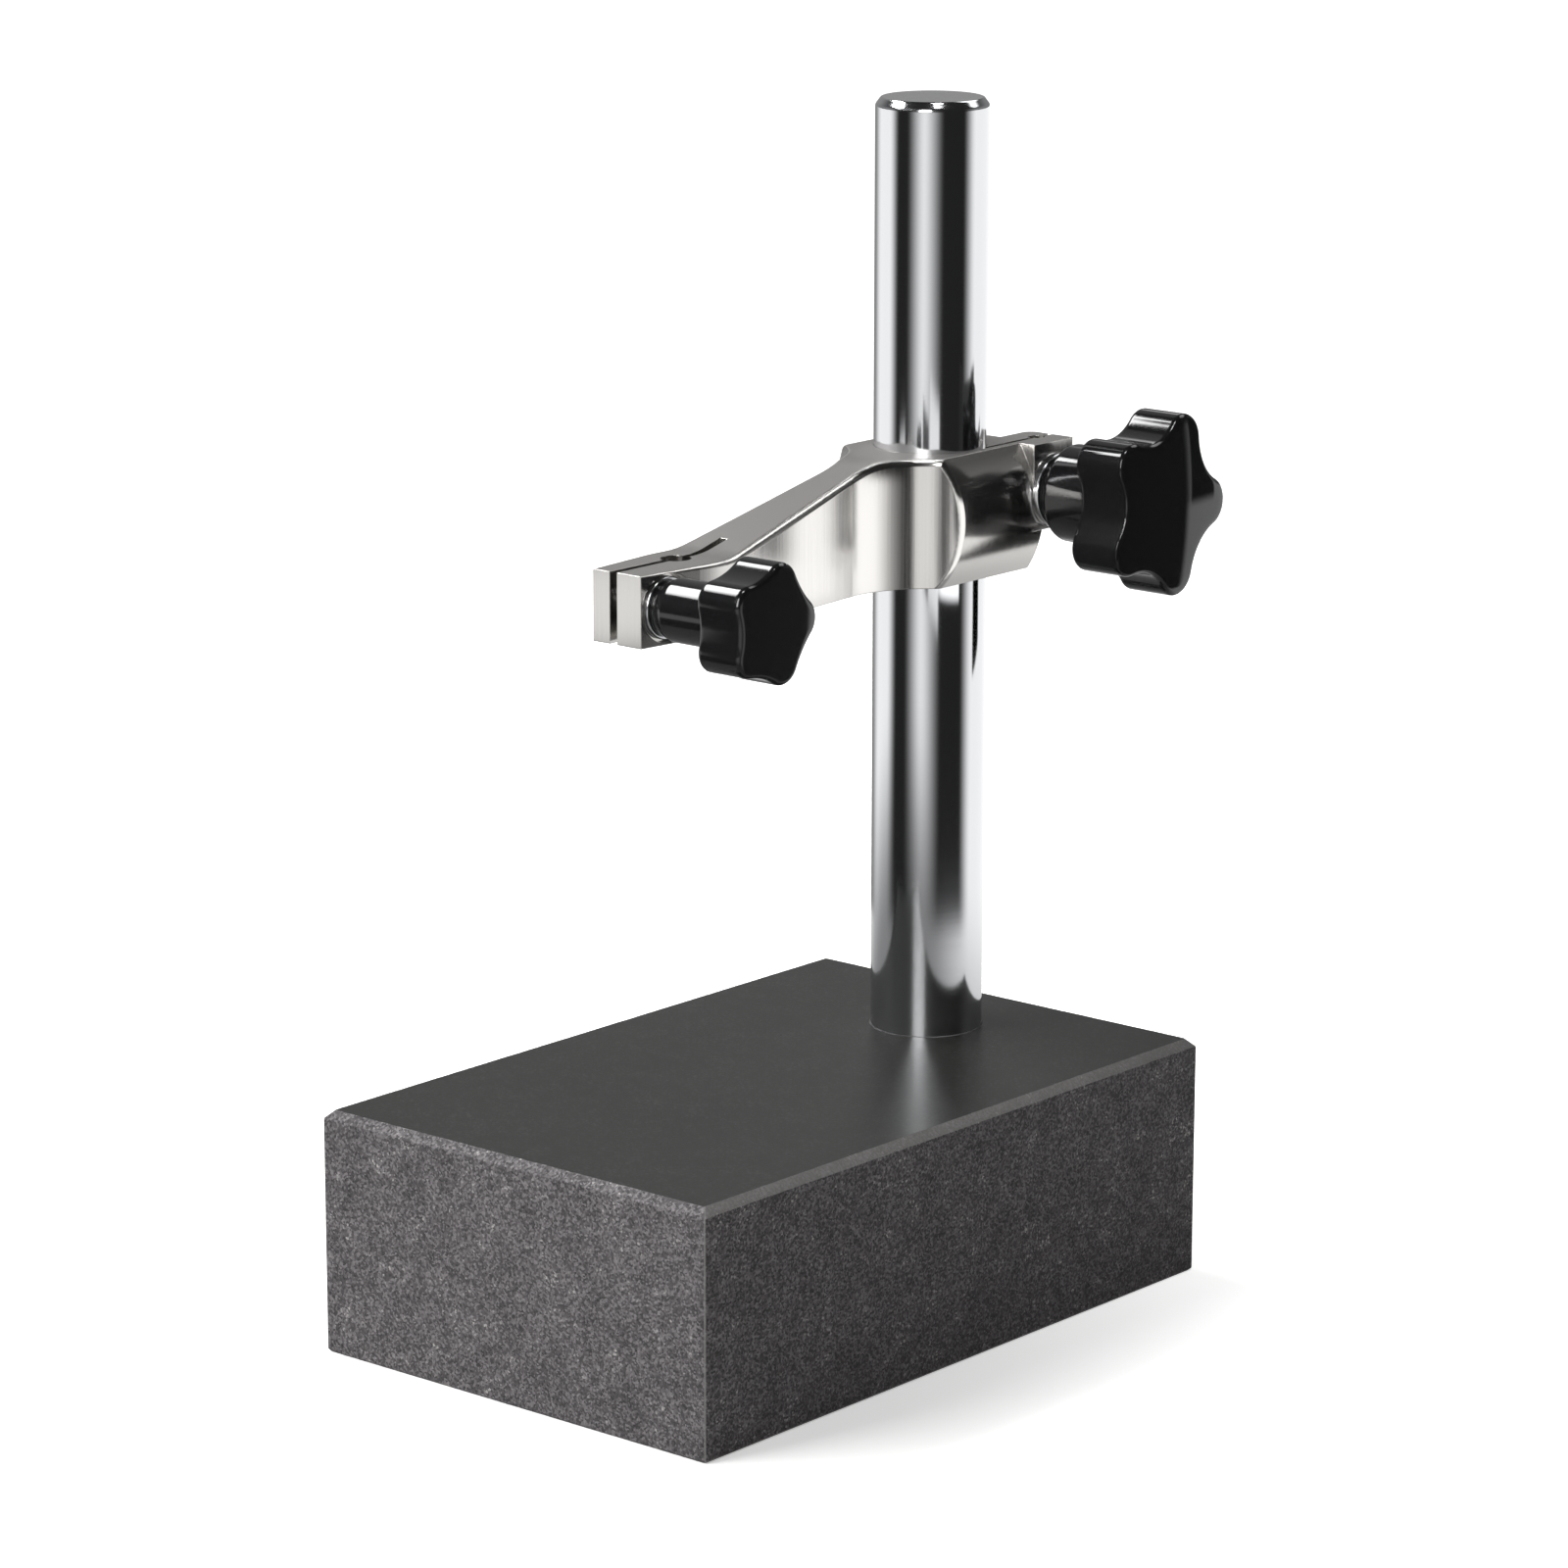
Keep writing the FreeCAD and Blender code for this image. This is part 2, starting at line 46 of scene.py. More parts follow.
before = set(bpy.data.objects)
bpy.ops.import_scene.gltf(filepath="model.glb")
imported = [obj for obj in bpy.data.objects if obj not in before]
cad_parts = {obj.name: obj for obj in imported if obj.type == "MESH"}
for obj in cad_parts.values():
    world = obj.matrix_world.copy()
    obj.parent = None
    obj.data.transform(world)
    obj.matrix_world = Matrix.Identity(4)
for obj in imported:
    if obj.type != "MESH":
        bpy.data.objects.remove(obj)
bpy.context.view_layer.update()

MM = 0.001
STONE_LOW, STONE_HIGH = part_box("granite_base")
COLUMN_LOW, COLUMN_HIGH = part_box("column")
COLUMN_CENTRE = (COLUMN_LOW + COLUMN_HIGH) / 2
SMOOTH_ANGLE = math.radians(32)


def linear(code):
    """The linear colour of an sRGB hex code."""
    channels = [int(code[place : place + 2], 16) / 255 for place in (1, 3, 5)]
    return tuple(c / 12.92 if c <= 0.04045 else ((c + 0.055) / 1.055) ** 2.4 for c in channels)


def opaque(colour):
    """A colour with its alpha, as a node takes it."""
    return (*colour[:3], 1.0)


def colour_property(name, description, code):
    """A colour setting with an sRGB hex default."""
    return FloatVectorProperty(
        name=name, description=description, default=linear(code), subtype="COLOR", size=3, min=0, max=1
    )


def length_property(name, description, millimetres):
    """A length setting with a default in millimetres."""
    return FloatProperty(
        name=name,
        description=description,
        default=millimetres * MM,
        min=0,
        soft_max=0.5,
        unit="LENGTH",
        precision=5,
    )


def factor_property(name, description, value):
    """A setting from 0 to 1."""
    return FloatProperty(name=name, description=description, default=value, min=0, max=1, subtype="FACTOR")


def level_property(name, description, value):
    """A strength or power without an upper end."""
    return FloatProperty(name=name, description=description, default=value, min=0)


class StoneSettings(bpy.types.PropertyGroup):
    """Sizes and colours of the stone base."""

    top_chamfer: length_property("Top chamfer", "Width of the chamfer round the top", 2.2)
    edge_break: length_property("Edge break", "Width of the broken edges elsewhere", 0.7)
    edge_wear: length_property("Edge wear", "How far the worn edges wander", 0.09)
    socket_gap: length_property("Socket gap", "Clearance round the column's foot", 0.05)
    screw_hole: length_property("Screw hole", "Diameter of the hole for the column's screw", 13.5)
    counterbore: length_property("Counterbore", "Diameter of the counterbore for the screw's head", 26.0)
    counterbore_depth: length_property("Counterbore depth", "Depth of the counterbore", 25.0)
    grain: length_property("Grain", "Size of the stone's crystals", 0.55)
    cloud: length_property("Cloud", "Size of the lighter and darker clouds in the grain", 6.875)
    crystal_relief: length_property("Crystal relief", "Height of the crystals on the ground sides", 0.06)
    ground_roughness: factor_property("Ground roughness", "Roughness of the ground sides", 0.62)
    lapped_roughness: factor_property("Lapped roughness", "Roughness of the lapped top", 0.3)
    dark: colour_property("Dark crystals", "Pyroxene between the paler crystals", "#2c2b2c")
    middle: colour_property("Grey crystals", "Feldspar that makes the stone's grey", "#504d4f")
    light: colour_property("Light crystals", "Clearer feldspar among the grey", "#757274")
    pale: colour_property("Pale crystals", "Scattered pale feldspar and mica", "#a3a09d")
    # Partly painted light: this paler colour also lifts the long chamfers as light from above would
    bruised_with_painted_light: colour_property("Bruised edges", "Long and upright edges that grinding has bruised", "#8a8987")
    bruising_with_painted_light: factor_property("Bruising", "How much of the bruised colour those edges take", 0.6)
    lapped: colour_property("Lapped stone", "The stone's colour where it is lapped", "#222321")
    lapped_pale: colour_property("Lapped pale crystals", "Pale crystals where the stone is lapped", "#383937")


class ColumnSettings(bpy.types.PropertyGroup):
    """Sizes and colours of the column."""

    top_chamfer: length_property("Top chamfer", "Height of the chamfer at the column's top", 2.0)
    top_chamfer_width: length_property("Top chamfer width", "Width of the chamfer at the column's top", 1.5)
    foot_chamfer: length_property("Foot chamfer", "Width of the chamfer at the column's foot", 0.5)
    top_round: length_property("Top round", "Radius where the top chamfer meets the column's side", 1.6)
    edge_round: length_property("Edge round", "Radius where the foot's chamfer meets faces", 0.25)
    grinding_pitch: length_property("Grinding pitch", "Spacing at which the grinding lines are drawn", 0.35)
    chrome: colour_property("Chrome", "Colour of the hard chrome", "#d6d7d9")
    roughness: factor_property("Roughness", "How much the ground surface blurs a reflection", 0.1)


class ArmSettings(bpy.types.PropertyGroup):
    """Finish of the cast arm."""

    nickel: colour_property("Nickel", "Colour of the plated casting's sides", "#cfcdca")
    blasted: colour_property("Blasted nickel", "Colour of the plated casting's top", "#9a9896")
    grit: length_property("Grit", "Grain of the blasted top", 0.28)
    streak: length_property("Streak", "Width of the linishing streaks on the sides", 0.5)
    top_roughness: factor_property("Top roughness", "Roughness of the blasted top", 0.42)
    side_roughness: factor_property("Side roughness", "Roughness of the linished sides", 0.1)
    texture_depth: length_property("Texture depth", "Depth of the grit and of the streaks", 0.03)
    edge_round: length_property("Edge round", "Radius that the edges seem to have", 0.35)


class KnobSettings(bpy.types.PropertyGroup):
    """Sizes and finish of the star knobs."""

    lobes: IntProperty(name="Lobes", description="Lobes round each star", default=5, min=3, max=12)
    rim: length_property("Rim", "Radius of the star's rims", 1.5)
    crown: length_property("Crown", "Height of the dome on the star's face", 1.2)
    root: length_property("Root", "Radius where the neck meets the star", 1.6)
    neck_end: length_property("Neck end", "Length of the plain end of the neck", 1.2)
    neck_flare: length_property("Neck flare", "Length of the cone at the neck's end", 3.0)
    ripple: length_property("Ripple", "Width of the ripples in the gloss", 4.0)
    handling: length_property("Handling marks", "Size of the duller patches that hands leave", 9.0)
    plastic: colour_property("Plastic", "Colour of the moulding", "#161617")
    roughness: factor_property("Roughness", "Roughness of the moulding", 0.09)


class HardwareSettings(bpy.types.PropertyGroup):
    """Finish of washers, studs, bushes and the foot screw."""

    zinc: colour_property("Zinc", "Colour of the bright plated steel", "#cfd0d2")
    brass: colour_property("Brass", "Colour of the turned brass", "#c8a35c")
    oxide: colour_property("Black oxide", "Colour of the blackened steel", "#2a2a2c")
    zinc_roughness: factor_property("Zinc roughness", "Roughness of the bright plated steel", 0.18)
    brass_roughness: factor_property("Brass roughness", "Roughness of the turned brass", 0.25)
    turning_pitch: length_property("Turning pitch", "Spacing at which the turning marks are drawn", 0.3)
    oxide_film: length_property("Oxide film", "Size of the oily patches on the blackened steel", 1.5)
    washer_round: length_property("Washer round", "Radius of the washers' rims", 0.4)


class StageSettings(bpy.types.PropertyGroup):
    """Floor, lamps and camera."""

    floor: colour_property("Floor", "Colour of the floor", "#e9e9e8")
    # Painted shade: how much of the white glow the camera's floor keeps next to the stand
    painted_floor_shade: factor_property("Shaded floor", "What the camera's white floor keeps beside the stand", 0.38)
    ambient: level_property("Ambient", "Light from all round", 0.2)
    mirrored: level_property("Mirrored floor", "Brightness of the floor in metal", 1.25)
    # Painted shade: how dark metal mirrors the floor next to the stand
    mirrored_floor_painted_shade: level_property("Mirrored floor near", "Brightness in metal of the floor by the stand", 0.3)
    room: level_property("Mirrored room", "Brightness of the room's walls in metal", 0.24)
    ceiling: level_property("Mirrored ceiling", "Brightness of the room's ceiling in metal", 0.02)
    key: level_property("Key lamp", "Power of the lamp at the front left", 34)
    strip: level_property("Strip lamp", "Power of the strip at the upper left", 14)
    rim: level_property("Rim lamp", "Power of the small lamp above", 3)
    lens: FloatProperty(name="Lens", description="Focal length in millimetres", default=131.8, min=1)


def add_node(tree, kind, inputs=None, stops=(), **settings):
    """Adds a node, sets its attributes, sets or links its inputs, and gives a colour ramp its stops."""
    node = tree.nodes.new(kind)
    for name, value in settings.items():
        setattr(node, name, value)
    for key, value in (inputs or {}).items():
        if isinstance(value, bpy.types.NodeSocket):
            tree.links.new(value, node.inputs[key])
        else:
            node.inputs[key].default_value = value
    for number, (place, colour) in enumerate(stops):
        elements = node.color_ramp.elements
        stop = elements[number] if number < len(elements) else elements.new(place)
        stop.position = place
        stop.color = opaque(colour)
    return node


def new_material(name):
    """An empty material, its node tree and its surface socket."""
    material = bpy.data.materials.new(name)
    material.use_nodes = True
    tree = material.node_tree
    tree.nodes.clear()
    return material, tree, add_node(tree, "ShaderNodeOutputMaterial").inputs["Surface"]


def finish_material(tree, surface, shader):
    """Links a material's last shader to its surface."""
    tree.links.new(shader.outputs[0], surface)


def black_granite(settings):
    """Black granite, a fine gabbro: pale feldspar flecks in a near-black ground.

    Its lapped top is darker, because the fine surface scatters less, and gives a soft gloss.
    Its ground sides stay matt and grey, and show every crystal.
    """
    material, tree, surface = new_material("black_granite_lapped_and_ground")
    place = add_node(tree, "ShaderNodeTexCoord").outputs["Object"]
    normal = add_node(tree, "ShaderNodeNewGeometry").outputs["Normal"]
    facing = add_node(tree, "ShaderNodeSeparateXYZ", {0: normal})
    lapped = add_node(
        tree, "ShaderNodeMapRange", {"Value": facing.outputs["Z"], "From Min": 0.9, "From Max": 0.99}
    ).outputs[0]
    crystals = add_node(
        tree, "ShaderNodeTexVoronoi", {"Vector": place, "Scale": 1 / settings.grain, "Randomness": 1.0}
    )
    shade = add_node(tree, "ShaderNodeSeparateColor", {0: crystals.outputs["Color"]}).outputs[0]
    clouds = add_node(
        tree,
        "ShaderNodeTexNoise",
        {"Vector": place, "Scale": 1 / settings.cloud, "Detail": 5.0, "Roughness": 0.6},
    )
    mixed = add_node(
        tree, "ShaderNodeMath", {0: clouds.outputs["Fac"], 1: 0.7, 2: shade}, operation="MULTIPLY_ADD"
    ).outputs[0]
    level = add_node(
        tree, "ShaderNodeMapRange", {"Value": mixed, "From Min": 0.2, "From Max": 1.45}
    ).outputs[0]
    ground_stops = [
        (0.0, settings.dark),
        (0.5, settings.middle),
        (0.92, settings.light),
        (1.0, settings.pale),
    ]
    ground = add_node(tree, "ShaderNodeValToRGB", {"Fac": level}, stops=ground_stops)
    # Largest where a face leans halfway to the stone's side: its long chamfers and upright edges. These take a
    # paler colour, partly because grinding bruises stone and partly as painted light that lifts them above the
    # faces beside them
    sideways = add_node(
        tree, "ShaderNodeMath", {0: facing.outputs["X"], 1: facing.outputs["X"]}, operation="MULTIPLY"
    ).outputs[0]
    other_way = add_node(tree, "ShaderNodeMath", {0: 1.0, 1: sideways}, operation="SUBTRACT").outputs[0]
    slant = add_node(tree, "ShaderNodeMath", {0: sideways, 1: other_way}, operation="MULTIPLY").outputs[0]
    bruise_with_painted_light = add_node(
        tree,
        "ShaderNodeMapRange",
        {"Value": slant, "From Min": 0.05, "From Max": 0.2, "To Max": settings.bruising_with_painted_light},
    ).outputs[0]
    sides = add_node(
        tree,
        "ShaderNodeMix",
        {"Factor": bruise_with_painted_light, "A": ground.outputs["Color"], "B": opaque(settings.bruised_with_painted_light)},
        data_type="RGBA",
    ).outputs["Result"]
    lapped_stops = [(0.0, settings.lapped), (0.7, settings.lapped), (1.0, settings.lapped_pale)]
    polished = add_node(tree, "ShaderNodeValToRGB", {"Fac": level}, stops=lapped_stops)
    colour = add_node(
        tree,
        "ShaderNodeMix",
        {"Factor": lapped, "A": sides, "B": polished.outputs["Color"]},
        data_type="RGBA",
    ).outputs["Result"]
    roughness = add_node(
        tree,
        "ShaderNodeMapRange",
        {"Value": lapped, "To Min": settings.ground_roughness, "To Max": settings.lapped_roughness},
    ).outputs[0]
    relief = add_node(
        tree, "ShaderNodeMapRange", {"Value": lapped, "To Min": 0.35, "To Max": 0.02}
    ).outputs[0]
    bump = add_node(
        tree, "ShaderNodeBump", {"Strength": relief, "Distance": settings.crystal_relief, "Height": shade}
    )
    shader = add_node(
        tree,
        "ShaderNodeBsdfPrincipled",
        {"Base Color": colour, "Roughness": roughness, "Specular IOR Level": 0.22, "Normal": bump.outputs[0]},
    )
    finish_material(tree, surface, shader)
    return material


def hard_chrome(settings):
    """Hard chrome on centreless-ground steel: a clear mirror that fine rings blur a little up and down."""
    material, tree, surface = new_material("hard_chrome_on_ground_steel")
    place = add_node(tree, "ShaderNodeTexCoord").outputs["Object"]
    # The real lines are finer than a pixel, so these are drawn coarser
    rings = add_node(tree, "ShaderNodeMapping", {"Vector": place, "Scale": (0.02, 0.02, 1.0)})
    lines = add_node(
        tree,
        "ShaderNodeTexNoise",
        {"Vector": rings.outputs[0], "Scale": 1 / settings.grinding_pitch, "Detail": 3.0},
    )
    roughness = add_node(
        tree,
        "ShaderNodeMapRange",
        {
            "Value": lines.outputs["Fac"],
            "To Min": settings.roughness * 0.8,
            "To Max": settings.roughness * 1.25,
        },
    ).outputs[0]
    bump = add_node(
        tree, "ShaderNodeBump", {"Strength": 0.05, "Distance": 0.01 * MM, "Height": lines.outputs["Fac"]}
    )
    shader = add_node(
        tree,
        "ShaderNodeBsdfPrincipled",
        {
            "Base Color": opaque(settings.chrome),
            "Metallic": 1.0,
            "Roughness": roughness,
            "Normal": bump.outputs[0],
        },
    )
    finish_material(tree, surface, shader)
    return material


def satin_nickel(settings):
    """Satin nickel on a steel casting: a blasted, grainy top and sides linished upright to a soft mirror."""
    material, tree, surface = new_material("satin_nickel_on_steel_casting")
    place = add_node(tree, "ShaderNodeTexCoord").outputs["Object"]
    normal = add_node(tree, "ShaderNodeNewGeometry").outputs["Normal"]
    facing = add_node(tree, "ShaderNodeSeparateXYZ", {0: normal})
    top = add_node(
        tree, "ShaderNodeMapRange", {"Value": facing.outputs["Z"], "From Min": 0.8, "From Max": 0.96}
    ).outputs[0]
    grit = add_node(tree, "ShaderNodeTexNoise", {"Vector": place, "Scale": 1 / settings.grit, "Detail": 3.0})
    # The real grit and streaks are finer, and are drawn as coarse as they need to show
    upright = add_node(tree, "ShaderNodeMapping", {"Vector": place, "Scale": (1.0, 1.0, 0.012)})
    streaks = add_node(
        tree,
        "ShaderNodeTexNoise",
        {"Vector": upright.outputs[0], "Scale": 1 / settings.streak, "Detail": 4.0},
    )
    height = add_node(
        tree,
        "ShaderNodeMix",
        {"Factor": top, "A": streaks.outputs["Fac"], "B": grit.outputs["Fac"]},
    ).outputs["Result"]
    base_roughness = add_node(
        tree,
        "ShaderNodeMapRange",
        {"Value": top, "To Min": settings.side_roughness, "To Max": settings.top_roughness},
    ).outputs[0]
    roughness = add_node(
        tree, "ShaderNodeMath", {0: height, 1: 0.12, 2: base_roughness}, operation="MULTIPLY_ADD"
    ).outputs[0]
    strength = add_node(tree, "ShaderNodeMapRange", {"Value": top, "To Min": 0.18, "To Max": 0.35}).outputs[0]
    colour = add_node(
        tree,
        "ShaderNodeMix",
        {"Factor": top, "A": opaque(settings.nickel), "B": opaque(settings.blasted)},
        data_type="RGBA",
    ).outputs["Result"]
    edge = add_node(tree, "ShaderNodeBevel", {"Radius": settings.edge_round}, samples=4)
    bump = add_node(
        tree,
        "ShaderNodeBump",
        {
            "Strength": strength,
            "Distance": settings.texture_depth,
            "Height": height,
            "Normal": edge.outputs[0],
        },
    )
    shader = add_node(
        tree,
        "ShaderNodeBsdfPrincipled",
        {
            "Base Color": colour,
            "Metallic": 1.0,
            "Roughness": roughness,
            "Normal": bump.outputs[0],
        },
    )
    finish_material(tree, surface, shader)
    return material


def phenolic(settings):
    """Black phenolic, moulded in a polished tool: deep black with a clear, faintly rippled gloss."""
    material, tree, surface = new_material("black_phenolic_moulded")
    place = add_node(tree, "ShaderNodeTexCoord").outputs["Object"]
    ripple = add_node(
        tree, "ShaderNodeTexNoise", {"Vector": place, "Scale": 1 / settings.ripple, "Detail": 1.0}
    )
    handling = add_node(
        tree, "ShaderNodeTexNoise", {"Vector": place, "Scale": 1 / settings.handling, "Detail": 4.0}
    )
    roughness = add_node(
        tree,
        "ShaderNodeMapRange",
        {
            "Value": handling.outputs["Fac"],
            "To Min": settings.roughness * 0.7,
            "To Max": settings.roughness * 1.4,
        },
    ).outputs[0]
    bump = add_node(
        tree, "ShaderNodeBump", {"Strength": 0.12, "Distance": 0.05 * MM, "Height": ripple.outputs["Fac"]}
    )
    shader = add_node(
        tree,
        "ShaderNodeBsdfPrincipled",
        {
            "Base Color": opaque(settings.plastic),
            "Roughness": roughness,
            "IOR": 1.5,
            "Normal": bump.outputs[0],
        },
    )
    finish_material(tree, surface, shader)
    return material


def turned_metal(name, colour, roughness, pitch, centre):
    """A turned metal part: rings of tool marks about its axis, which lies along X through a centre.

    The marks break its shine into rings. They are drawn coarser than the real ones, so that they show.
    """
    material, tree, surface = new_material(name)
    place = add_node(tree, "ShaderNodeTexCoord").outputs["Object"]
    out = add_node(
        tree, "ShaderNodeVectorMath", {0: place, 1: (0.0, centre.y, centre.z)}, operation="SUBTRACT"
    ).outputs[0]
    flat = add_node(
        tree, "ShaderNodeVectorMath", {0: out, 1: (0.0, 1.0, 1.0)}, operation="MULTIPLY"
    ).outputs[0]
    radius = add_node(tree, "ShaderNodeVectorMath", {0: flat}, operation="LENGTH").outputs["Value"]
    marks = add_node(
        tree,
        "ShaderNodeTexNoise",
        {"W": radius, "Scale": 1 / pitch, "Detail": 2.0},
        noise_dimensions="1D",
    )
    shine = add_node(
        tree,
        "ShaderNodeMapRange",
        {"Value": marks.outputs["Fac"], "To Min": roughness * 0.8, "To Max": roughness * 1.3},
    ).outputs[0]
    bump = add_node(
        tree, "ShaderNodeBump", {"Strength": 0.25, "Distance": 0.02 * MM, "Height": marks.outputs["Fac"]}
    )
    shader = add_node(
        tree,
        "ShaderNodeBsdfPrincipled",
        {"Base Color": opaque(colour), "Metallic": 1.0, "Roughness": shine, "Normal": bump.outputs[0]},
    )
    finish_material(tree, surface, shader)
    return material


def black_oxide(settings):
    """Black oxide on an alloy steel screw: a dark, slightly oily skin with a dull shine."""
    material, tree, surface = new_material("black_oxide_on_alloy_steel")
    place = add_node(tree, "ShaderNodeTexCoord").outputs["Object"]
    film = add_node(
        tree, "ShaderNodeTexNoise", {"Vector": place, "Scale": 1 / settings.oxide_film, "Detail": 5.0}
    )
    roughness = add_node(
        tree, "ShaderNodeMapRange", {"Value": film.outputs["Fac"], "To Min": 0.3, "To Max": 0.5}
    ).outputs[0]
    bump = add_node(
        tree, "ShaderNodeBump", {"Strength": 0.15, "Distance": 0.02 * MM, "Height": film.outputs["Fac"]}
    )
    shader = add_node(
        tree,
        "ShaderNodeBsdfPrincipled",
        {
            "Base Color": opaque(settings.oxide),
            "Metallic": 0.8,
            "Roughness": roughness,
            "Normal": bump.outputs[0],
        },
    )
    finish_material(tree, surface, shader)
    return material


def dress(piece, material):
    """Gives a piece one material in place of what it has."""
    piece.data.materials.clear()
    piece.data.materials.append(material)


def rounded_path(corners, steps=4):
    """A path through corners (along, out, radius), with each corner turned into an arc of its radius."""
    points = [Vector(corners[0][:2])]
    for before, corner, after in zip(corners, corners[1:], corners[2:]):
        here, radius = Vector(corner[:2]), corner[2]
        back = (Vector(before[:2]) - here).normalized()
        ahead = (Vector(after[:2]) - here).normalized()
        half = back.angle(ahead) / 2
        if radius <= 0 or half > math.radians(89):
            points.append(here)
            continue
        centre = here + (back + ahead).normalized() * (radius / math.sin(half))
        start = here + back * (radius / math.tan(half)) - centre
        end = here + ahead * (radius / math.tan(half)) - centre
        for step in range(steps + 1):
            share = step / steps
            points.append(centre + start.slerp(end, share) * radius)
    points.append(Vector(corners[-1][:2]))
    return points


def braced(path, gap):
    """A path with extra points just inside each long stretch, so that shading stays flat along it."""
    points = [path[0]]
    for start, end in zip(path, path[1:]):
        length = (end - start).length
        if length > 3 * gap:
            points += [start.lerp(end, gap / length), end.lerp(start, gap / length)]
        points.append(end)
    return points


def loft(name, rings, start_cap=None, end_cap=None):
    """A skin through rings of as many points each; a cap is the point that an end ring is drawn to."""
    skin = bmesh.new()
    loops = [[skin.verts.new(point) for point in ring] for ring in rings]
    count = len(loops[0])
    for lower, upper in zip(loops, loops[1:]):
        for here in range(count):
            there = (here + 1) % count
            skin.faces.new((lower[here], lower[there], upper[there], upper[here]))
    for cap, loop in ((start_cap, loops[0]), (end_cap, loops[-1])):
        if cap is not None:
            tip = skin.verts.new(cap)
            for here in range(count):
                skin.faces.new((tip, loop[here], loop[(here + 1) % count]))
    bmesh.ops.recalc_face_normals(skin, faces=skin.faces)
    mesh = bpy.data.meshes.new(name)
    skin.to_mesh(mesh)
    skin.free()
    mesh.shade_smooth()
    mesh.set_sharp_from_angle(angle=SMOOTH_ANGLE)
    piece = bpy.data.objects.new(name, mesh)
    bpy.context.scene.collection.objects.link(piece)
    return piece


def ring_about_x(centre, along, radius, count):
    """A ring of points round the X axis through a centre."""
    return [centre + Vector((along, radius * math.cos(a), radius * math.sin(a))) for a in even_angles(count)]


def ring_about_z(centre, height, radius, angles):
    """A ring of points round the Z axis through a centre, at given angles."""
    x, y = centre.x, centre.y
    return [Vector((x + radius * math.cos(a), y + radius * math.sin(a), height)) for a in angles]


def even_angles(count):
    """Angles evenly round a full turn."""
    return [2 * math.pi * n / count for n in range(count)]


def stone_outline(inset, corner, height, step):
    """Points round the stone's outline, pulled in by an inset, with its upright corners rounded."""
    x, y = STONE_HIGH.x - inset, STONE_HIGH.y - inset
    corners = [(x, 0, 0), (x, y, corner), (-x, y, corner), (-x, -y, corner), (x, -y, corner), (x, 0, 0)]
    path = rounded_path(corners)
    points = []
    for start, end in zip(path, path[1:]):
        pieces = max(1, round((end - start).length / step))
        points += [start.lerp(end, n / pieces) for n in range(pieces)]
    return [Vector((point.x, point.y, height)) for point in points]


def worn(ring, amount, spacing):
    """A ring whose points wander a little inwards, as a stone's edge does where crystals have come away."""
    moved = []
    for point in ring:
        drift = noise.noise_vector(point / spacing) + 0.5 * noise.noise_vector(point * 3 / spacing)
        place = point + drift * amount
        inside = [max(low, min(high, value)) for low, value, high in zip(STONE_LOW, place, STONE_HIGH)]
        moved.append(Vector(inside))
    return moved


class STAND_OT_stone_base(bpy.types.Operator):
    """Build the stone base with its worn edges, socket and counterbore"""

    bl_idname = "stand.stone_base"
    bl_label = "Stone Base"

    def execute(self, context):
        stone = context.scene.stand_stone
        base_height = STONE_HIGH.z
        profile = rounded_path(
            [
                (stone.edge_break, 0, 0),
                (0, stone.edge_break, stone.edge_break / 2),
                (0, base_height - stone.top_chamfer, stone.top_chamfer / 5),
                (stone.top_chamfer, base_height, 0),
            ]
        )
        edge_spacing = 2 * MM
        corner = stone.edge_break
        outer = []
        for inset, height in profile:
            ring = stone_outline(0, corner, height, edge_spacing)
            scale_x = 1 - inset / STONE_HIGH.x
            scale_y = 1 - inset / STONE_HIGH.y
            ring = [Vector((p.x * scale_x, p.y * scale_y, p.z)) for p in ring]
            outer.append(ring)
        outer[1:] = [worn(ring, stone.edge_wear, edge_spacing * 2) for ring in outer[1:]]
        outer[-1] = [Vector((p.x, p.y, base_height)) for p in outer[-1]]
        axis = Vector((COLUMN_CENTRE.x, COLUMN_CENTRE.y, 0))
        angles = [math.atan2(p.y - axis.y, p.x - axis.x) for p in outer[-1]]
        socket = COLUMN_HIGH.x - COLUMN_CENTRE.x + stone.socket_gap
        hole = stone.screw_hole / 2
        recess = stone.counterbore / 2
        inner = [
            (base_height, socket + stone.edge_break / 2),
            (base_height - stone.edge_break / 2, socket),
            (COLUMN_LOW.z, socket),
            (COLUMN_LOW.z, hole),
            (stone.counterbore_depth, hole),
            (stone.counterbore_depth, recess),
            (0.0, recess),
        ]
        walls = [ring_about_z(axis, height, radius, angles) for height, radius in inner]
        rings = outer + walls + [outer[0]]
        piece = loft("stone_base", rings)
        weld_seam(piece)
        dress(piece, black_granite(stone))
        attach(piece, "base")
        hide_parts("granite_base")
        return {"FINISHED"}


def weld_seam(piece):
    """Joins the first and last ring of a skin that closes on itself."""
    skin = bmesh.new()
    skin.from_mesh(piece.data)
    bmesh.ops.remove_doubles(skin, verts=skin.verts, dist=0.001 * MM)
    bmesh.ops.recalc_face_normals(skin, faces=skin.faces)
    skin.to_mesh(piece.data)
    skin.free()
    piece.data.shade_smooth()
    piece.data.set_sharp_from_angle(angle=SMOOTH_ANGLE)


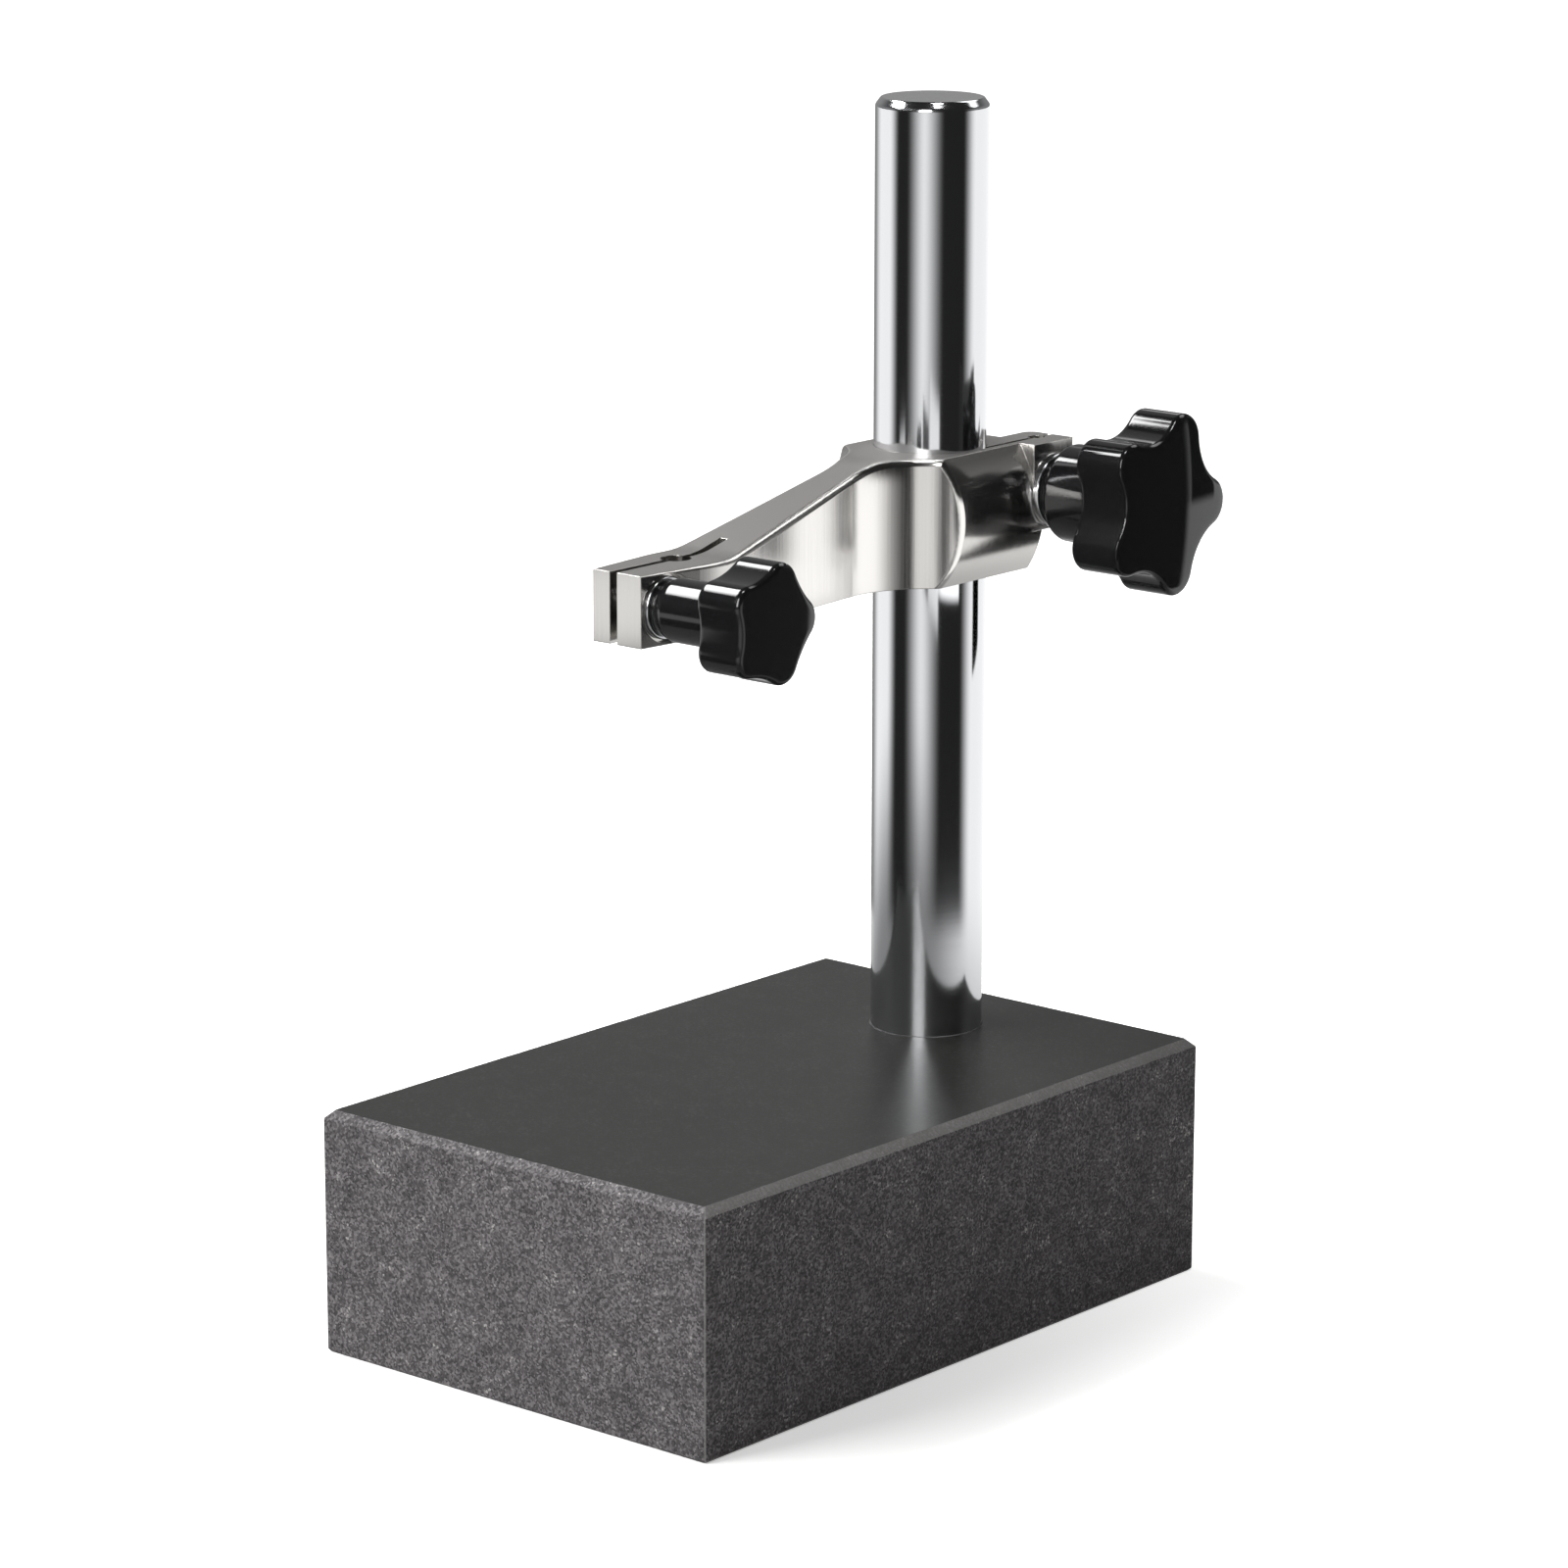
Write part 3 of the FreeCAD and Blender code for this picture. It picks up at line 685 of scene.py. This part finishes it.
class STAND_OT_column(bpy.types.Operator):
    """Build the ground column with its softened chamfers"""

    bl_idname = "stand.column"
    bl_label = "Column"

    def execute(self, context):
        settings = context.scene.stand_column
        radius = (COLUMN_HIGH.x - COLUMN_LOW.x) / 2
        low, high = COLUMN_LOW.z, COLUMN_HIGH.z
        profile = rounded_path(
            [
                (low, 0, 0),
                (low, radius - settings.foot_chamfer, settings.edge_round / 2),
                (low + settings.foot_chamfer, radius, settings.edge_round / 2),
                (high - settings.top_chamfer, radius, settings.top_round),
                (high, radius - settings.top_chamfer_width, settings.top_round / 2),
                (high, 0, 0),
            ],
            steps=6,
        )
        angles = even_angles(256)
        profile = braced(profile, settings.edge_round)
        rings = [ring_about_z(COLUMN_CENTRE, height, out, angles) for height, out in profile[1:-1]]
        centre = Vector((COLUMN_CENTRE.x, COLUMN_CENTRE.y, 0))
        piece = loft("column_bar", rings, centre + Vector((0, 0, low)), centre + Vector((0, 0, high)))
        dress(piece, hard_chrome(settings))
        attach(piece, "column")
        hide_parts("column")
        return {"FINISHED"}


class STAND_OT_clamp_arm(bpy.types.Operator):
    """Give the cast arm its satin nickel"""

    bl_idname = "stand.clamp_arm"
    bl_label = "Clamp Arm"

    def execute(self, context):
        dress(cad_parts["clamp_arm"], satin_nickel(context.scene.stand_arm))
        return {"FINISHED"}


# Sizes of the two clamps in millimetres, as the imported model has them
CLAMPS = {
    "column_clamp": {
        "outer": 25.0,
        "valley": 18.3,
        "lobe": 6.5,
        "phase": -4.0,
        "star": 16.5,
        "neck": 13.0,
        "neck_end": 9.5,
        "bush": 8.0,
        "thread": 1.5,
    },
    "indicator_clamp": {
        "outer": 16.0,
        "valley": 13.2,
        "lobe": 5.4,
        "phase": 1.0,
        "star": 15.0,
        "neck": 8.2,
        "neck_end": 7.3,
        "bush": 5.0,
        "thread": 1.0,
    },
}


def star_outline(clamp, lobes):
    """Points and outward directions round a star of round lobes and hollow valleys, in (y, z)."""
    outer, valley, lobe = (clamp[key] * MM for key in ("outer", "valley", "lobe"))
    half_step = math.pi / lobes
    out = outer - lobe
    above = out**2 + valley**2 - 2 * out * valley * math.cos(half_step) - lobe**2
    below = 2 * lobe + 2 * out * math.cos(half_step) - 2 * valley
    hollow = above / below
    far = valley + hollow
    lobe_centre = Vector((out, 0))
    hollow_centre = Vector((far * math.cos(half_step), far * math.sin(half_step)))
    towards = (hollow_centre - lobe_centre).normalized()
    lobe_turn = math.atan2(towards.y, towards.x)
    hollow_turn = lobe_turn + math.pi
    lobe_steps, hollow_steps = 16, 14
    points = []
    for number in range(lobes):
        turn = math.radians(clamp["phase"]) + 2 * half_step * number
        for step in range(2 * lobe_steps):
            angle = lobe_turn * (step / lobe_steps - 1)
            direction = Vector((math.cos(angle), math.sin(angle)))
            points.append((spun(lobe_centre + direction * lobe, turn), spun(direction, turn)))
        middle = half_step + math.pi
        sweep = hollow_turn - middle
        for step in range(2 * hollow_steps):
            angle = middle + sweep * (1 - step / hollow_steps)
            direction = Vector((math.cos(angle), math.sin(angle)))
            points.append((spun(hollow_centre + direction * hollow, turn), spun(-direction, turn)))
    return points


def spun(point, angle):
    """A flat point turned about the origin."""
    cosine, sine = math.cos(angle), math.sin(angle)
    return Vector((point.x * cosine - point.y * sine, point.x * sine + point.y * cosine))


def star_knob(name, seat, height, clamp, settings):
    """A moulded star knob: neck, star with rounded rims and domed face, and the bush's pocket."""
    outline = star_outline(clamp, settings.lobes)
    star_back = height - clamp["star"] * MM
    dome = ((clamp["outer"] * MM) ** 2 + settings.crown**2) / (2 * settings.crown)
    neck, neck_end, bush = (clamp[key] * MM for key in ("neck", "neck_end", "bush"))

    def face_at(point):
        return height - point.length_squared / (2 * dome)

    def round_ring(along, radius):
        return [Vector((along, *(p.normalized() * radius))) for p, _ in outline]

    profile = rounded_path(
        [
            (bush_depth(name), 0, 0),
            (bush_depth(name), bush, 0),
            (0, bush, 0),
            (0, neck_end, settings.rim / 3),
            (settings.neck_end, neck_end, settings.rim / 3),
            (settings.neck_end + settings.neck_flare, neck, settings.rim),
            (star_back, neck, settings.root),
            (star_back, neck + 2 * settings.root, 0),
        ]
    )
    rim = settings.rim
    brace = rim / 4
    rim_steps, face_steps = 6, 10
    quarter = [math.pi / 2 * step / rim_steps for step in range(rim_steps + 1)]
    rings = [round_ring(along, radius) for along, radius in braced(profile[1:], brace)]
    for angle in quarter:
        inset, rise = rim * (1 - math.sin(angle)), rim * (1 - math.cos(angle))
        rings.append([Vector((star_back + rise, *(p - n * inset))) for p, n in outline])
    rings.append([Vector((star_back + rim + brace, *p)) for p, _ in outline])
    rings.append([Vector((face_at(p) - rim - brace, *p)) for p, _ in outline])
    for angle in quarter:
        inset, drop = rim * (1 - math.cos(angle)), rim * (1 - math.sin(angle))
        flat = [p - n * inset for p, n in outline]
        rings.append([Vector((face_at(p) - drop, *p)) for p in flat])
    inner = [p - n * rim for p, n in outline]
    for step in range(1, face_steps):
        share = 1 - step / face_steps
        rings.append([Vector((face_at(p * share), *(p * share))) for p in inner])
    placed = [[seat + point for point in ring] for ring in rings]
    start = seat + Vector((bush_depth(name), 0, 0))
    return loft(name, placed, start, seat + Vector((height, 0, 0)))


def bush_depth(name):
    """How deep a knob's bush sits in it."""
    low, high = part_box(name.replace("_knob_moulding", "_bush"))
    return high.x - low.x


def threaded_stud(name, low, high, radius, pitch):
    """A stud along X with a real thread: its rings' radii follow a helix."""
    depth = 0.54 * pitch
    lead = 0.9 * pitch
    flank, crest = 4.8, 0.9
    count, rows_per_turn = 64, 8
    rows = int((high - low).x / pitch * rows_per_turn)
    centre = Vector((low.x, (low.y + high.y) / 2, (low.z + high.z) / 2))
    rings = []
    for row in range(rows + 1):
        along = (high.x - low.x) * row / rows
        ring = []
        for number, angle in enumerate(even_angles(count)):
            turn = (along / pitch + number / count) % 1
            groove = depth * max(0.0, min(1.0, flank * abs(turn - 0.5) - crest))
            reach = min(radius, radius - lead + along) if along < lead else radius
            out = min(radius - groove, reach)
            ring.append(centre + Vector((along, out * math.cos(angle), out * math.sin(angle))))
        rings.append(ring)
    return loft(name, rings, centre, centre + Vector((high.x - low.x, 0, 0)))


class STAND_OT_star_knobs(bpy.types.Operator):
    """Build both moulded star knobs"""

    bl_idname = "stand.star_knobs"
    bl_label = "Star Knobs"

    def execute(self, context):
        settings = context.scene.stand_knobs
        material = phenolic(settings)
        for node, clamp in CLAMPS.items():
            low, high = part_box(node + "_knob")
            stud_low, stud_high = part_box(node + "_stud")
            seat = Vector((low.x, (stud_low.y + stud_high.y) / 2, (stud_low.z + stud_high.z) / 2))
            piece = star_knob(node + "_knob_moulding", seat, high.x - low.x, clamp, settings)
            dress(piece, material)
            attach(piece, node + "_knob")
            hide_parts(node + "_knob")
        return {"FINISHED"}


class STAND_OT_clamp_hardware(bpy.types.Operator):
    """Build the clamps' threaded studs and round-edged washers, and finish their bushes"""

    bl_idname = "stand.clamp_hardware"
    bl_label = "Clamp Hardware"

    def execute(self, context):
        settings = context.scene.stand_hardware
        for node, clamp in CLAMPS.items():
            low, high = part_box(node + "_stud")
            centre = (low + high) / 2
            radius = (high.y - low.y) / 2
            pitch = settings.turning_pitch
            zinc_name, brass_name = "bright_zinc_on_" + node, "turned_brass_in_" + node
            zinc = turned_metal(zinc_name, settings.zinc, settings.zinc_roughness, pitch, centre)
            stud = threaded_stud(node + "_threaded_stud", low, high, radius, clamp["thread"] * MM)
            dress(stud, zinc)
            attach(stud, node + "_knob")
            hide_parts(node + "_stud")
            disc = self.washer(node, centre, radius, settings)
            dress(disc, zinc)
            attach(disc, node + "_washer")
            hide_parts(node + "_washer")
            brass = turned_metal(brass_name, settings.brass, settings.brass_roughness, pitch, centre)
            dress(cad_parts[node + "_bush"], brass)
        return {"FINISHED"}

    def washer(self, node, centre, stud_radius, settings):
        """A flat washer with rounded rims."""
        low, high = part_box(node + "_washer")
        bore_gap = 0.4 * MM
        bore = stud_radius + bore_gap
        outer = (high.y - low.y) / 2
        thick = high.x - low.x
        rim = settings.washer_round
        profile = rounded_path(
            [
                (thick / 2, bore, 0),
                (0, bore, rim / 2),
                (0, outer, rim),
                (thick, outer, rim),
                (thick, bore, rim / 2),
                (thick / 2, bore, 0),
            ]
        )
        seat = Vector((low.x, centre.y, centre.z))
        rings = [ring_about_x(seat, along, radius, 160) for along, radius in braced(profile, rim / 4)]
        piece = loft(node + "_round_washer", rings)
        weld_seam(piece)
        return piece


class STAND_OT_foot_hardware(bpy.types.Operator):
    """Finish the screw and washers that hold the column from beneath"""

    bl_idname = "stand.foot_hardware"
    bl_label = "Foot Hardware"

    def execute(self, context):
        oxide = black_oxide(context.scene.stand_hardware)
        for node in ("column_foot_screw", "column_foot_lock_washer", "column_foot_washer"):
            dress(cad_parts[node], oxide)
        return {"FINISHED"}


# The photograph's viewpoint, in metres and degrees
CAMERA_PLACE = (0.93883, -1.09737, 0.48769)
CAMERA_TURN = (76.57, -0.08, 40.42)
SENSOR = 36.0


def ray_shares(tree):
    """Two shares of 0 or 1: for rays from the camera, and for rays from a reflection or through glass."""
    path = add_node(tree, "ShaderNodeLightPath")
    mirrored = add_node(
        tree,
        "ShaderNodeMath",
        {0: path.outputs["Is Glossy Ray"], 1: path.outputs["Is Transmission Ray"]},
        operation="MAXIMUM",
    )
    return path.outputs["Is Camera Ray"], mirrored.outputs[0]


def floor_material(settings):
    """Matt painted studio floor, lifted for the camera until it reads as white paper away from the shadow, and
    lifted less next to the stand, which is painted shade.

    Bright metal mirrors it as white paper with painted shade that darkens it beneath the stand.
    """
    material, tree, surface = new_material("matt_studio_floor")
    place = add_node(tree, "ShaderNodeTexCoord").outputs["Object"]
    # The floor's painted shade is centred here, by the stand's front left, and fades with distance from it
    beside = (-0.04, -0.1, 0.0)
    away = add_node(tree, "ShaderNodeVectorMath", {0: place, 1: beside}, operation="DISTANCE").outputs["Value"]
    # Painted shade: the white glow is weaker near the stand, so the floor darkens there beyond its real shadow
    white_glow_and_painted_shade = add_node(
        tree,
        "ShaderNodeMapRange",
        {"Value": away, "From Min": 0.1, "From Max": 0.36, "To Min": settings.painted_floor_shade, "To Max": 1.0},
        interpolation_type="SMOOTHSTEP",
    ).outputs[0]
    # Painted shade in reflections: the floor that metal mirrors glows less towards the stand
    mirrored_white_and_painted_shade = add_node(
        tree,
        "ShaderNodeMapRange",
        {
            "Value": away,
            "From Min": 0.25,
            "From Max": 0.6,
            "To Min": settings.mirrored_floor_painted_shade,
            "To Max": settings.mirrored,
        },
        interpolation_type="SMOOTHSTEP",
    ).outputs[0]
    matt = add_node(tree, "ShaderNodeBsdfDiffuse", {"Color": opaque(settings.floor)})
    glow = add_node(tree, "ShaderNodeEmission", {"Color": (1, 1, 1, 1), "Strength": white_glow_and_painted_shade})
    both = add_node(tree, "ShaderNodeAddShader", {0: matt.outputs[0], 1: glow.outputs[0]})
    image = add_node(tree, "ShaderNodeEmission", {"Color": (1, 1, 1, 1), "Strength": mirrored_white_and_painted_shade})
    camera, mirrored = ray_shares(tree)
    unseen = add_node(tree, "ShaderNodeMixShader", {0: mirrored, 1: matt.outputs[0], 2: image.outputs[0]})
    shader = add_node(tree, "ShaderNodeMixShader", {0: camera, 1: unseen.outputs[0], 2: both.outputs[0]})
    finish_material(tree, surface, shader)
    return material


def studio_world(settings):
    """Even light, white behind the object, and a dim room with a black ceiling where metal mirrors it."""
    world = bpy.data.worlds.new("studio")
    world.use_nodes = True
    tree = world.node_tree
    tree.nodes.clear()
    camera, mirrored = ray_shares(tree)
    dim = add_node(tree, "ShaderNodeBackground", {"Strength": settings.ambient})
    direction = add_node(tree, "ShaderNodeTexCoord").outputs["Generated"]
    height = add_node(tree, "ShaderNodeSeparateXYZ", {0: direction}).outputs["Z"]
    dusk = add_node(
        tree,
        "ShaderNodeMapRange",
        {
            "Value": height,
            "From Min": 0.25,
            "From Max": 0.6,
            "To Min": settings.room,
            "To Max": settings.ceiling,
        },
    ).outputs[0]
    room = add_node(tree, "ShaderNodeBackground", {"Strength": dusk})
    white = add_node(tree, "ShaderNodeBackground", {"Strength": 1.0})
    for background in (dim, room, white):
        background.inputs["Color"].default_value = (1, 1, 1, 1)
    lit = add_node(tree, "ShaderNodeMixShader", {0: mirrored, 1: dim.outputs[0], 2: room.outputs[0]})
    shader = add_node(tree, "ShaderNodeMixShader", {0: camera, 1: lit.outputs[0], 2: white.outputs[0]})
    output = add_node(tree, "ShaderNodeOutputWorld")
    tree.links.new(shader.outputs[0], output.inputs["Surface"])
    return world


def area_lamp(name, place, target, size, power):
    """A soft rectangular lamp that faces a target."""
    data = bpy.data.lights.new(name, "AREA")
    data.shape = "RECTANGLE"
    data.size, data.size_y = size
    data.energy = power
    lamp = bpy.data.objects.new(name, data)
    lamp.location = place
    lamp.rotation_euler = (Vector(target) - Vector(place)).to_track_quat("-Z", "Y").to_euler()
    bpy.context.scene.collection.objects.link(lamp)
    return lamp


def card_material(name, shade, fades):
    """Lit or black studio card with soft edges, which shows as a soft band in polished metal."""
    material, tree, surface = new_material(name)
    start_fade, end_fade, side_fade = fades
    place = add_node(tree, "ShaderNodeSeparateXYZ", {0: add_node(tree, "ShaderNodeTexCoord").outputs["UV"]})
    share = 1.0
    for axis, edge, full in (
        ("X", 0.0, start_fade),
        ("X", 1.0, 1 - end_fade),
        ("Y", 0.0, side_fade),
        ("Y", 1.0, 1 - side_fade),
    ):
        ramp = add_node(
            tree,
            "ShaderNodeMapRange",
            {"Value": place.outputs[axis], "From Min": edge, "From Max": full},
            interpolation_type="SMOOTHSTEP",
        ).outputs[0]
        share = add_node(tree, "ShaderNodeMath", {0: ramp, 1: share}, operation="MULTIPLY").outputs[0]
    card = add_node(tree, "ShaderNodeEmission", {"Color": (1, 1, 1, 1), "Strength": shade})
    clear = add_node(tree, "ShaderNodeBsdfTransparent")
    shader = add_node(tree, "ShaderNodeMixShader", {0: share, 1: clear.outputs[0], 2: card.outputs[0]})
    finish_material(tree, surface, shader)
    return material


def reflection_card(name, rail, heights, shade, fades):
    """A card that stands on a rail of (x, y) points, between two heights, and shows only in reflections.

    Its edges fade over shares of its width at the rail's start and end, and of its height at the sides.
    """
    steps = len(rail) - 1
    verts = [(x, y, height) for x, y in rail for height in heights]
    faces = [(2 * n, 2 * n + 2, 2 * n + 3, 2 * n + 1) for n in range(steps)]
    mesh = bpy.data.meshes.new(name)
    mesh.from_pydata(verts, [], faces)
    places = mesh.uv_layers.new(name="card")
    for loop in mesh.loops:
        places.data[loop.index].uv = (loop.vertex_index // 2 / steps, loop.vertex_index % 2)
    card = bpy.data.objects.new(name, mesh)
    bpy.context.scene.collection.objects.link(card)
    card.visible_camera = False
    card.visible_diffuse = False
    card.visible_shadow = False
    card.visible_transmission = False
    dress(card, card_material(name, shade, fades))
    return card


def arc(centre, radius, start, end, steps=24):
    """Points on an arc about a centre, from one plan angle to another, in degrees."""
    angles = [math.radians(start + (end - start) * n / steps) for n in range(steps + 1)]
    return [(centre.x + radius * math.cos(a), centre.y + radius * math.sin(a)) for a in angles]


class STAND_OT_stage(bpy.types.Operator):
    """Set the floor, the lamps, the cards for reflections and the camera"""

    bl_idname = "stand.stage"
    bl_label = "Stage"

    def execute(self, context):
        scene = context.scene
        settings = scene.stand_stage
        mesh = bpy.data.meshes.new("floor")
        reach = 8.0
        corners = [(-reach, -reach, 0), (reach, -reach, 0), (reach, reach, 0), (-reach, reach, 0)]
        mesh.from_pydata(corners, [], [(0, 1, 2, 3)])
        floor = bpy.data.objects.new("floor", mesh)
        scene.collection.objects.link(floor)
        dress(floor, floor_material(settings))

        target = (0, 0, 0.12)
        area_lamp("key_lamp", (-0.7, -1.5, 1.3), target, (0.9, 0.9), settings.key)
        area_lamp("strip_lamp", (-0.75, -0.2, 1.15), target, (0.8, 0.3), settings.strip)
        area_lamp("rim_lamp", (0.3, -0.1, 1.4), target, (0.25, 0.25), settings.rim)
        self.far_cards()
        self.near_cards()
        scene.world = studio_world(settings)

        data = bpy.data.cameras.new("camera")
        data.lens = settings.lens
        data.sensor_width = SENSOR
        camera = bpy.data.objects.new("camera", data)
        camera.location = CAMERA_PLACE
        camera.rotation_euler = [math.radians(turn) for turn in CAMERA_TURN]
        scene.collection.objects.link(camera)
        scene.camera = camera
        scene.view_settings.view_transform = "Standard"
        return {"FINISHED"}

    def far_cards(self):
        """Dark cards round the stand for the bands in bright metal, and white ones beyond for its glints."""
        around, floor_up = 0.36, (0.0, 0.7)
        for name, start, end, shade, fades in (
            ("left_black_card", -144, -60, 0.02, (0.29, 0.5, 0.01)),
            ("right_black_card", -74, 46, 0.02, (0.4, 0.27, 0.01)),
            ("back_grey_card", 110, 190, 0.3, (0.25, 0.4, 0.01)),
        ):
            reflection_card(name, arc(COLUMN_CENTRE, around, start, end), floor_up, shade, fades)
        for name, rail, heights, shade, fades in (
            ("crest_white_card", [(-0.663, 0.636), (-0.463, 0.826)], (0.6, 0.78), 4.0, (0.1, 0.1, 0.1)),
            ("edge_white_card", [(0.19, -1.08), (0.71, -0.84)], (0.34, 1.3), 12.0, (0.2, 0.2, 0.1)),
            ("ridge_white_card", [(-0.3, 0.85), (0.55, 0.75)], (0.72, 1.6), 2.5, (0.2, 0.2, 0.2)),
        ):
            reflection_card(name, rail, heights, shade, fades)

    def near_cards(self):
        """Small cards beside the arm: white for its flank and front, black for the knobs and the hub."""
        low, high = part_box("column_clamp_knob")
        knob_heights = (low.z, high.z)
        before_face, beside_star = high.x + 2 * MM, low.y - 1.5 * MM
        # The large knob's face mirrors the white floor only low on its right lobe
        patch_side, patch_top = 0.103, 0.2075
        overlap, above = 4 * MM, 3 * MM
        face = [(before_face, low.y), (before_face, patch_side)]
        lobe = [(before_face, patch_side - overlap), (before_face, high.y)]
        lobe_heights = (patch_top, high.z + above)
        star = [(0.0345, beside_star), (high.x, beside_star)]
        for name, rail, heights, shade, fades in (
            ("cheek_white_card", [(0.115, -0.085), (0.115, -0.008)], (0.145, 0.22), 1.1, (0.1, 0.1, 0.15)),
            ("flank_white_card", [(0.034, 0.034), (0.034, 0.0645)], (0.178, 0.216), 1.6, (0.4, 0.02, 0.1)),
            ("front_white_card", [(-0.085, -0.12), (-0.04, -0.155)], (0.16, 0.198), 1.15, (0.2, 0.2, 0.3)),
            ("hub_black_card", [(0.05, 0.105), (0.05, 0.16)], (0.15, 0.216), 0.0, (0.03, 0.05, 0.03)),
            ("lug_black_card", [(0.024, 0.0635), (0.038, 0.0635)], (0.2185, 0.245), 0.03, (0.05, 0.05, 0.06)),
            ("knob_black_card", [(0.057, -0.06), (0.057, -0.01)], (0.165, 0.22), 0.1, (0.1, 0.1, 0.1)),
            ("face_black_card", face, knob_heights, 0.05, (0.02, 0.1, 0.02)),
            ("lobe_black_card", lobe, lobe_heights, 0.05, (0.02, 0.05, 0.12)),
            ("side_black_card", star, knob_heights, 0.05, (0.02, 0.05, 0.03)),
        ):
            reflection_card(name, rail, heights, shade, fades)


class STAND_PT_panel(bpy.types.Panel):
    """Lists the pieces of the dial indicator stand"""

    bl_label = "Dial Indicator Stand"
    bl_space_type = "VIEW_3D"
    bl_region_type = "UI"
    bl_category = "Stand"

    def draw(self, context):
        for operator in PIECES:
            self.layout.operator(operator.bl_idname)


PIECES = (
    STAND_OT_stage,
    STAND_OT_stone_base,
    STAND_OT_column,
    STAND_OT_clamp_arm,
    STAND_OT_star_knobs,
    STAND_OT_clamp_hardware,
    STAND_OT_foot_hardware,
)
SETTINGS = {
    "stand_stone": StoneSettings,
    "stand_column": ColumnSettings,
    "stand_arm": ArmSettings,
    "stand_knobs": KnobSettings,
    "stand_hardware": HardwareSettings,
    "stand_stage": StageSettings,
}


def register():
    for group in SETTINGS.values():
        bpy.utils.register_class(group)
    for name, group in SETTINGS.items():
        setattr(bpy.types.Scene, name, PointerProperty(type=group))
    for operator in PIECES:
        bpy.utils.register_class(operator)
    bpy.utils.register_class(STAND_PT_panel)


def unregister():
    bpy.utils.unregister_class(STAND_PT_panel)
    for operator in reversed(PIECES):
        bpy.utils.unregister_class(operator)
    for name, group in reversed(SETTINGS.items()):
        delattr(bpy.types.Scene, name)
        bpy.utils.unregister_class(group)


def main():
    register()
    bpy.ops.stand.stage()
    bpy.ops.stand.stone_base()
    bpy.ops.stand.column()
    bpy.ops.stand.clamp_arm()
    bpy.ops.stand.star_knobs()
    bpy.ops.stand.clamp_hardware()
    bpy.ops.stand.foot_hardware()


if __name__ == "__main__":
    main()
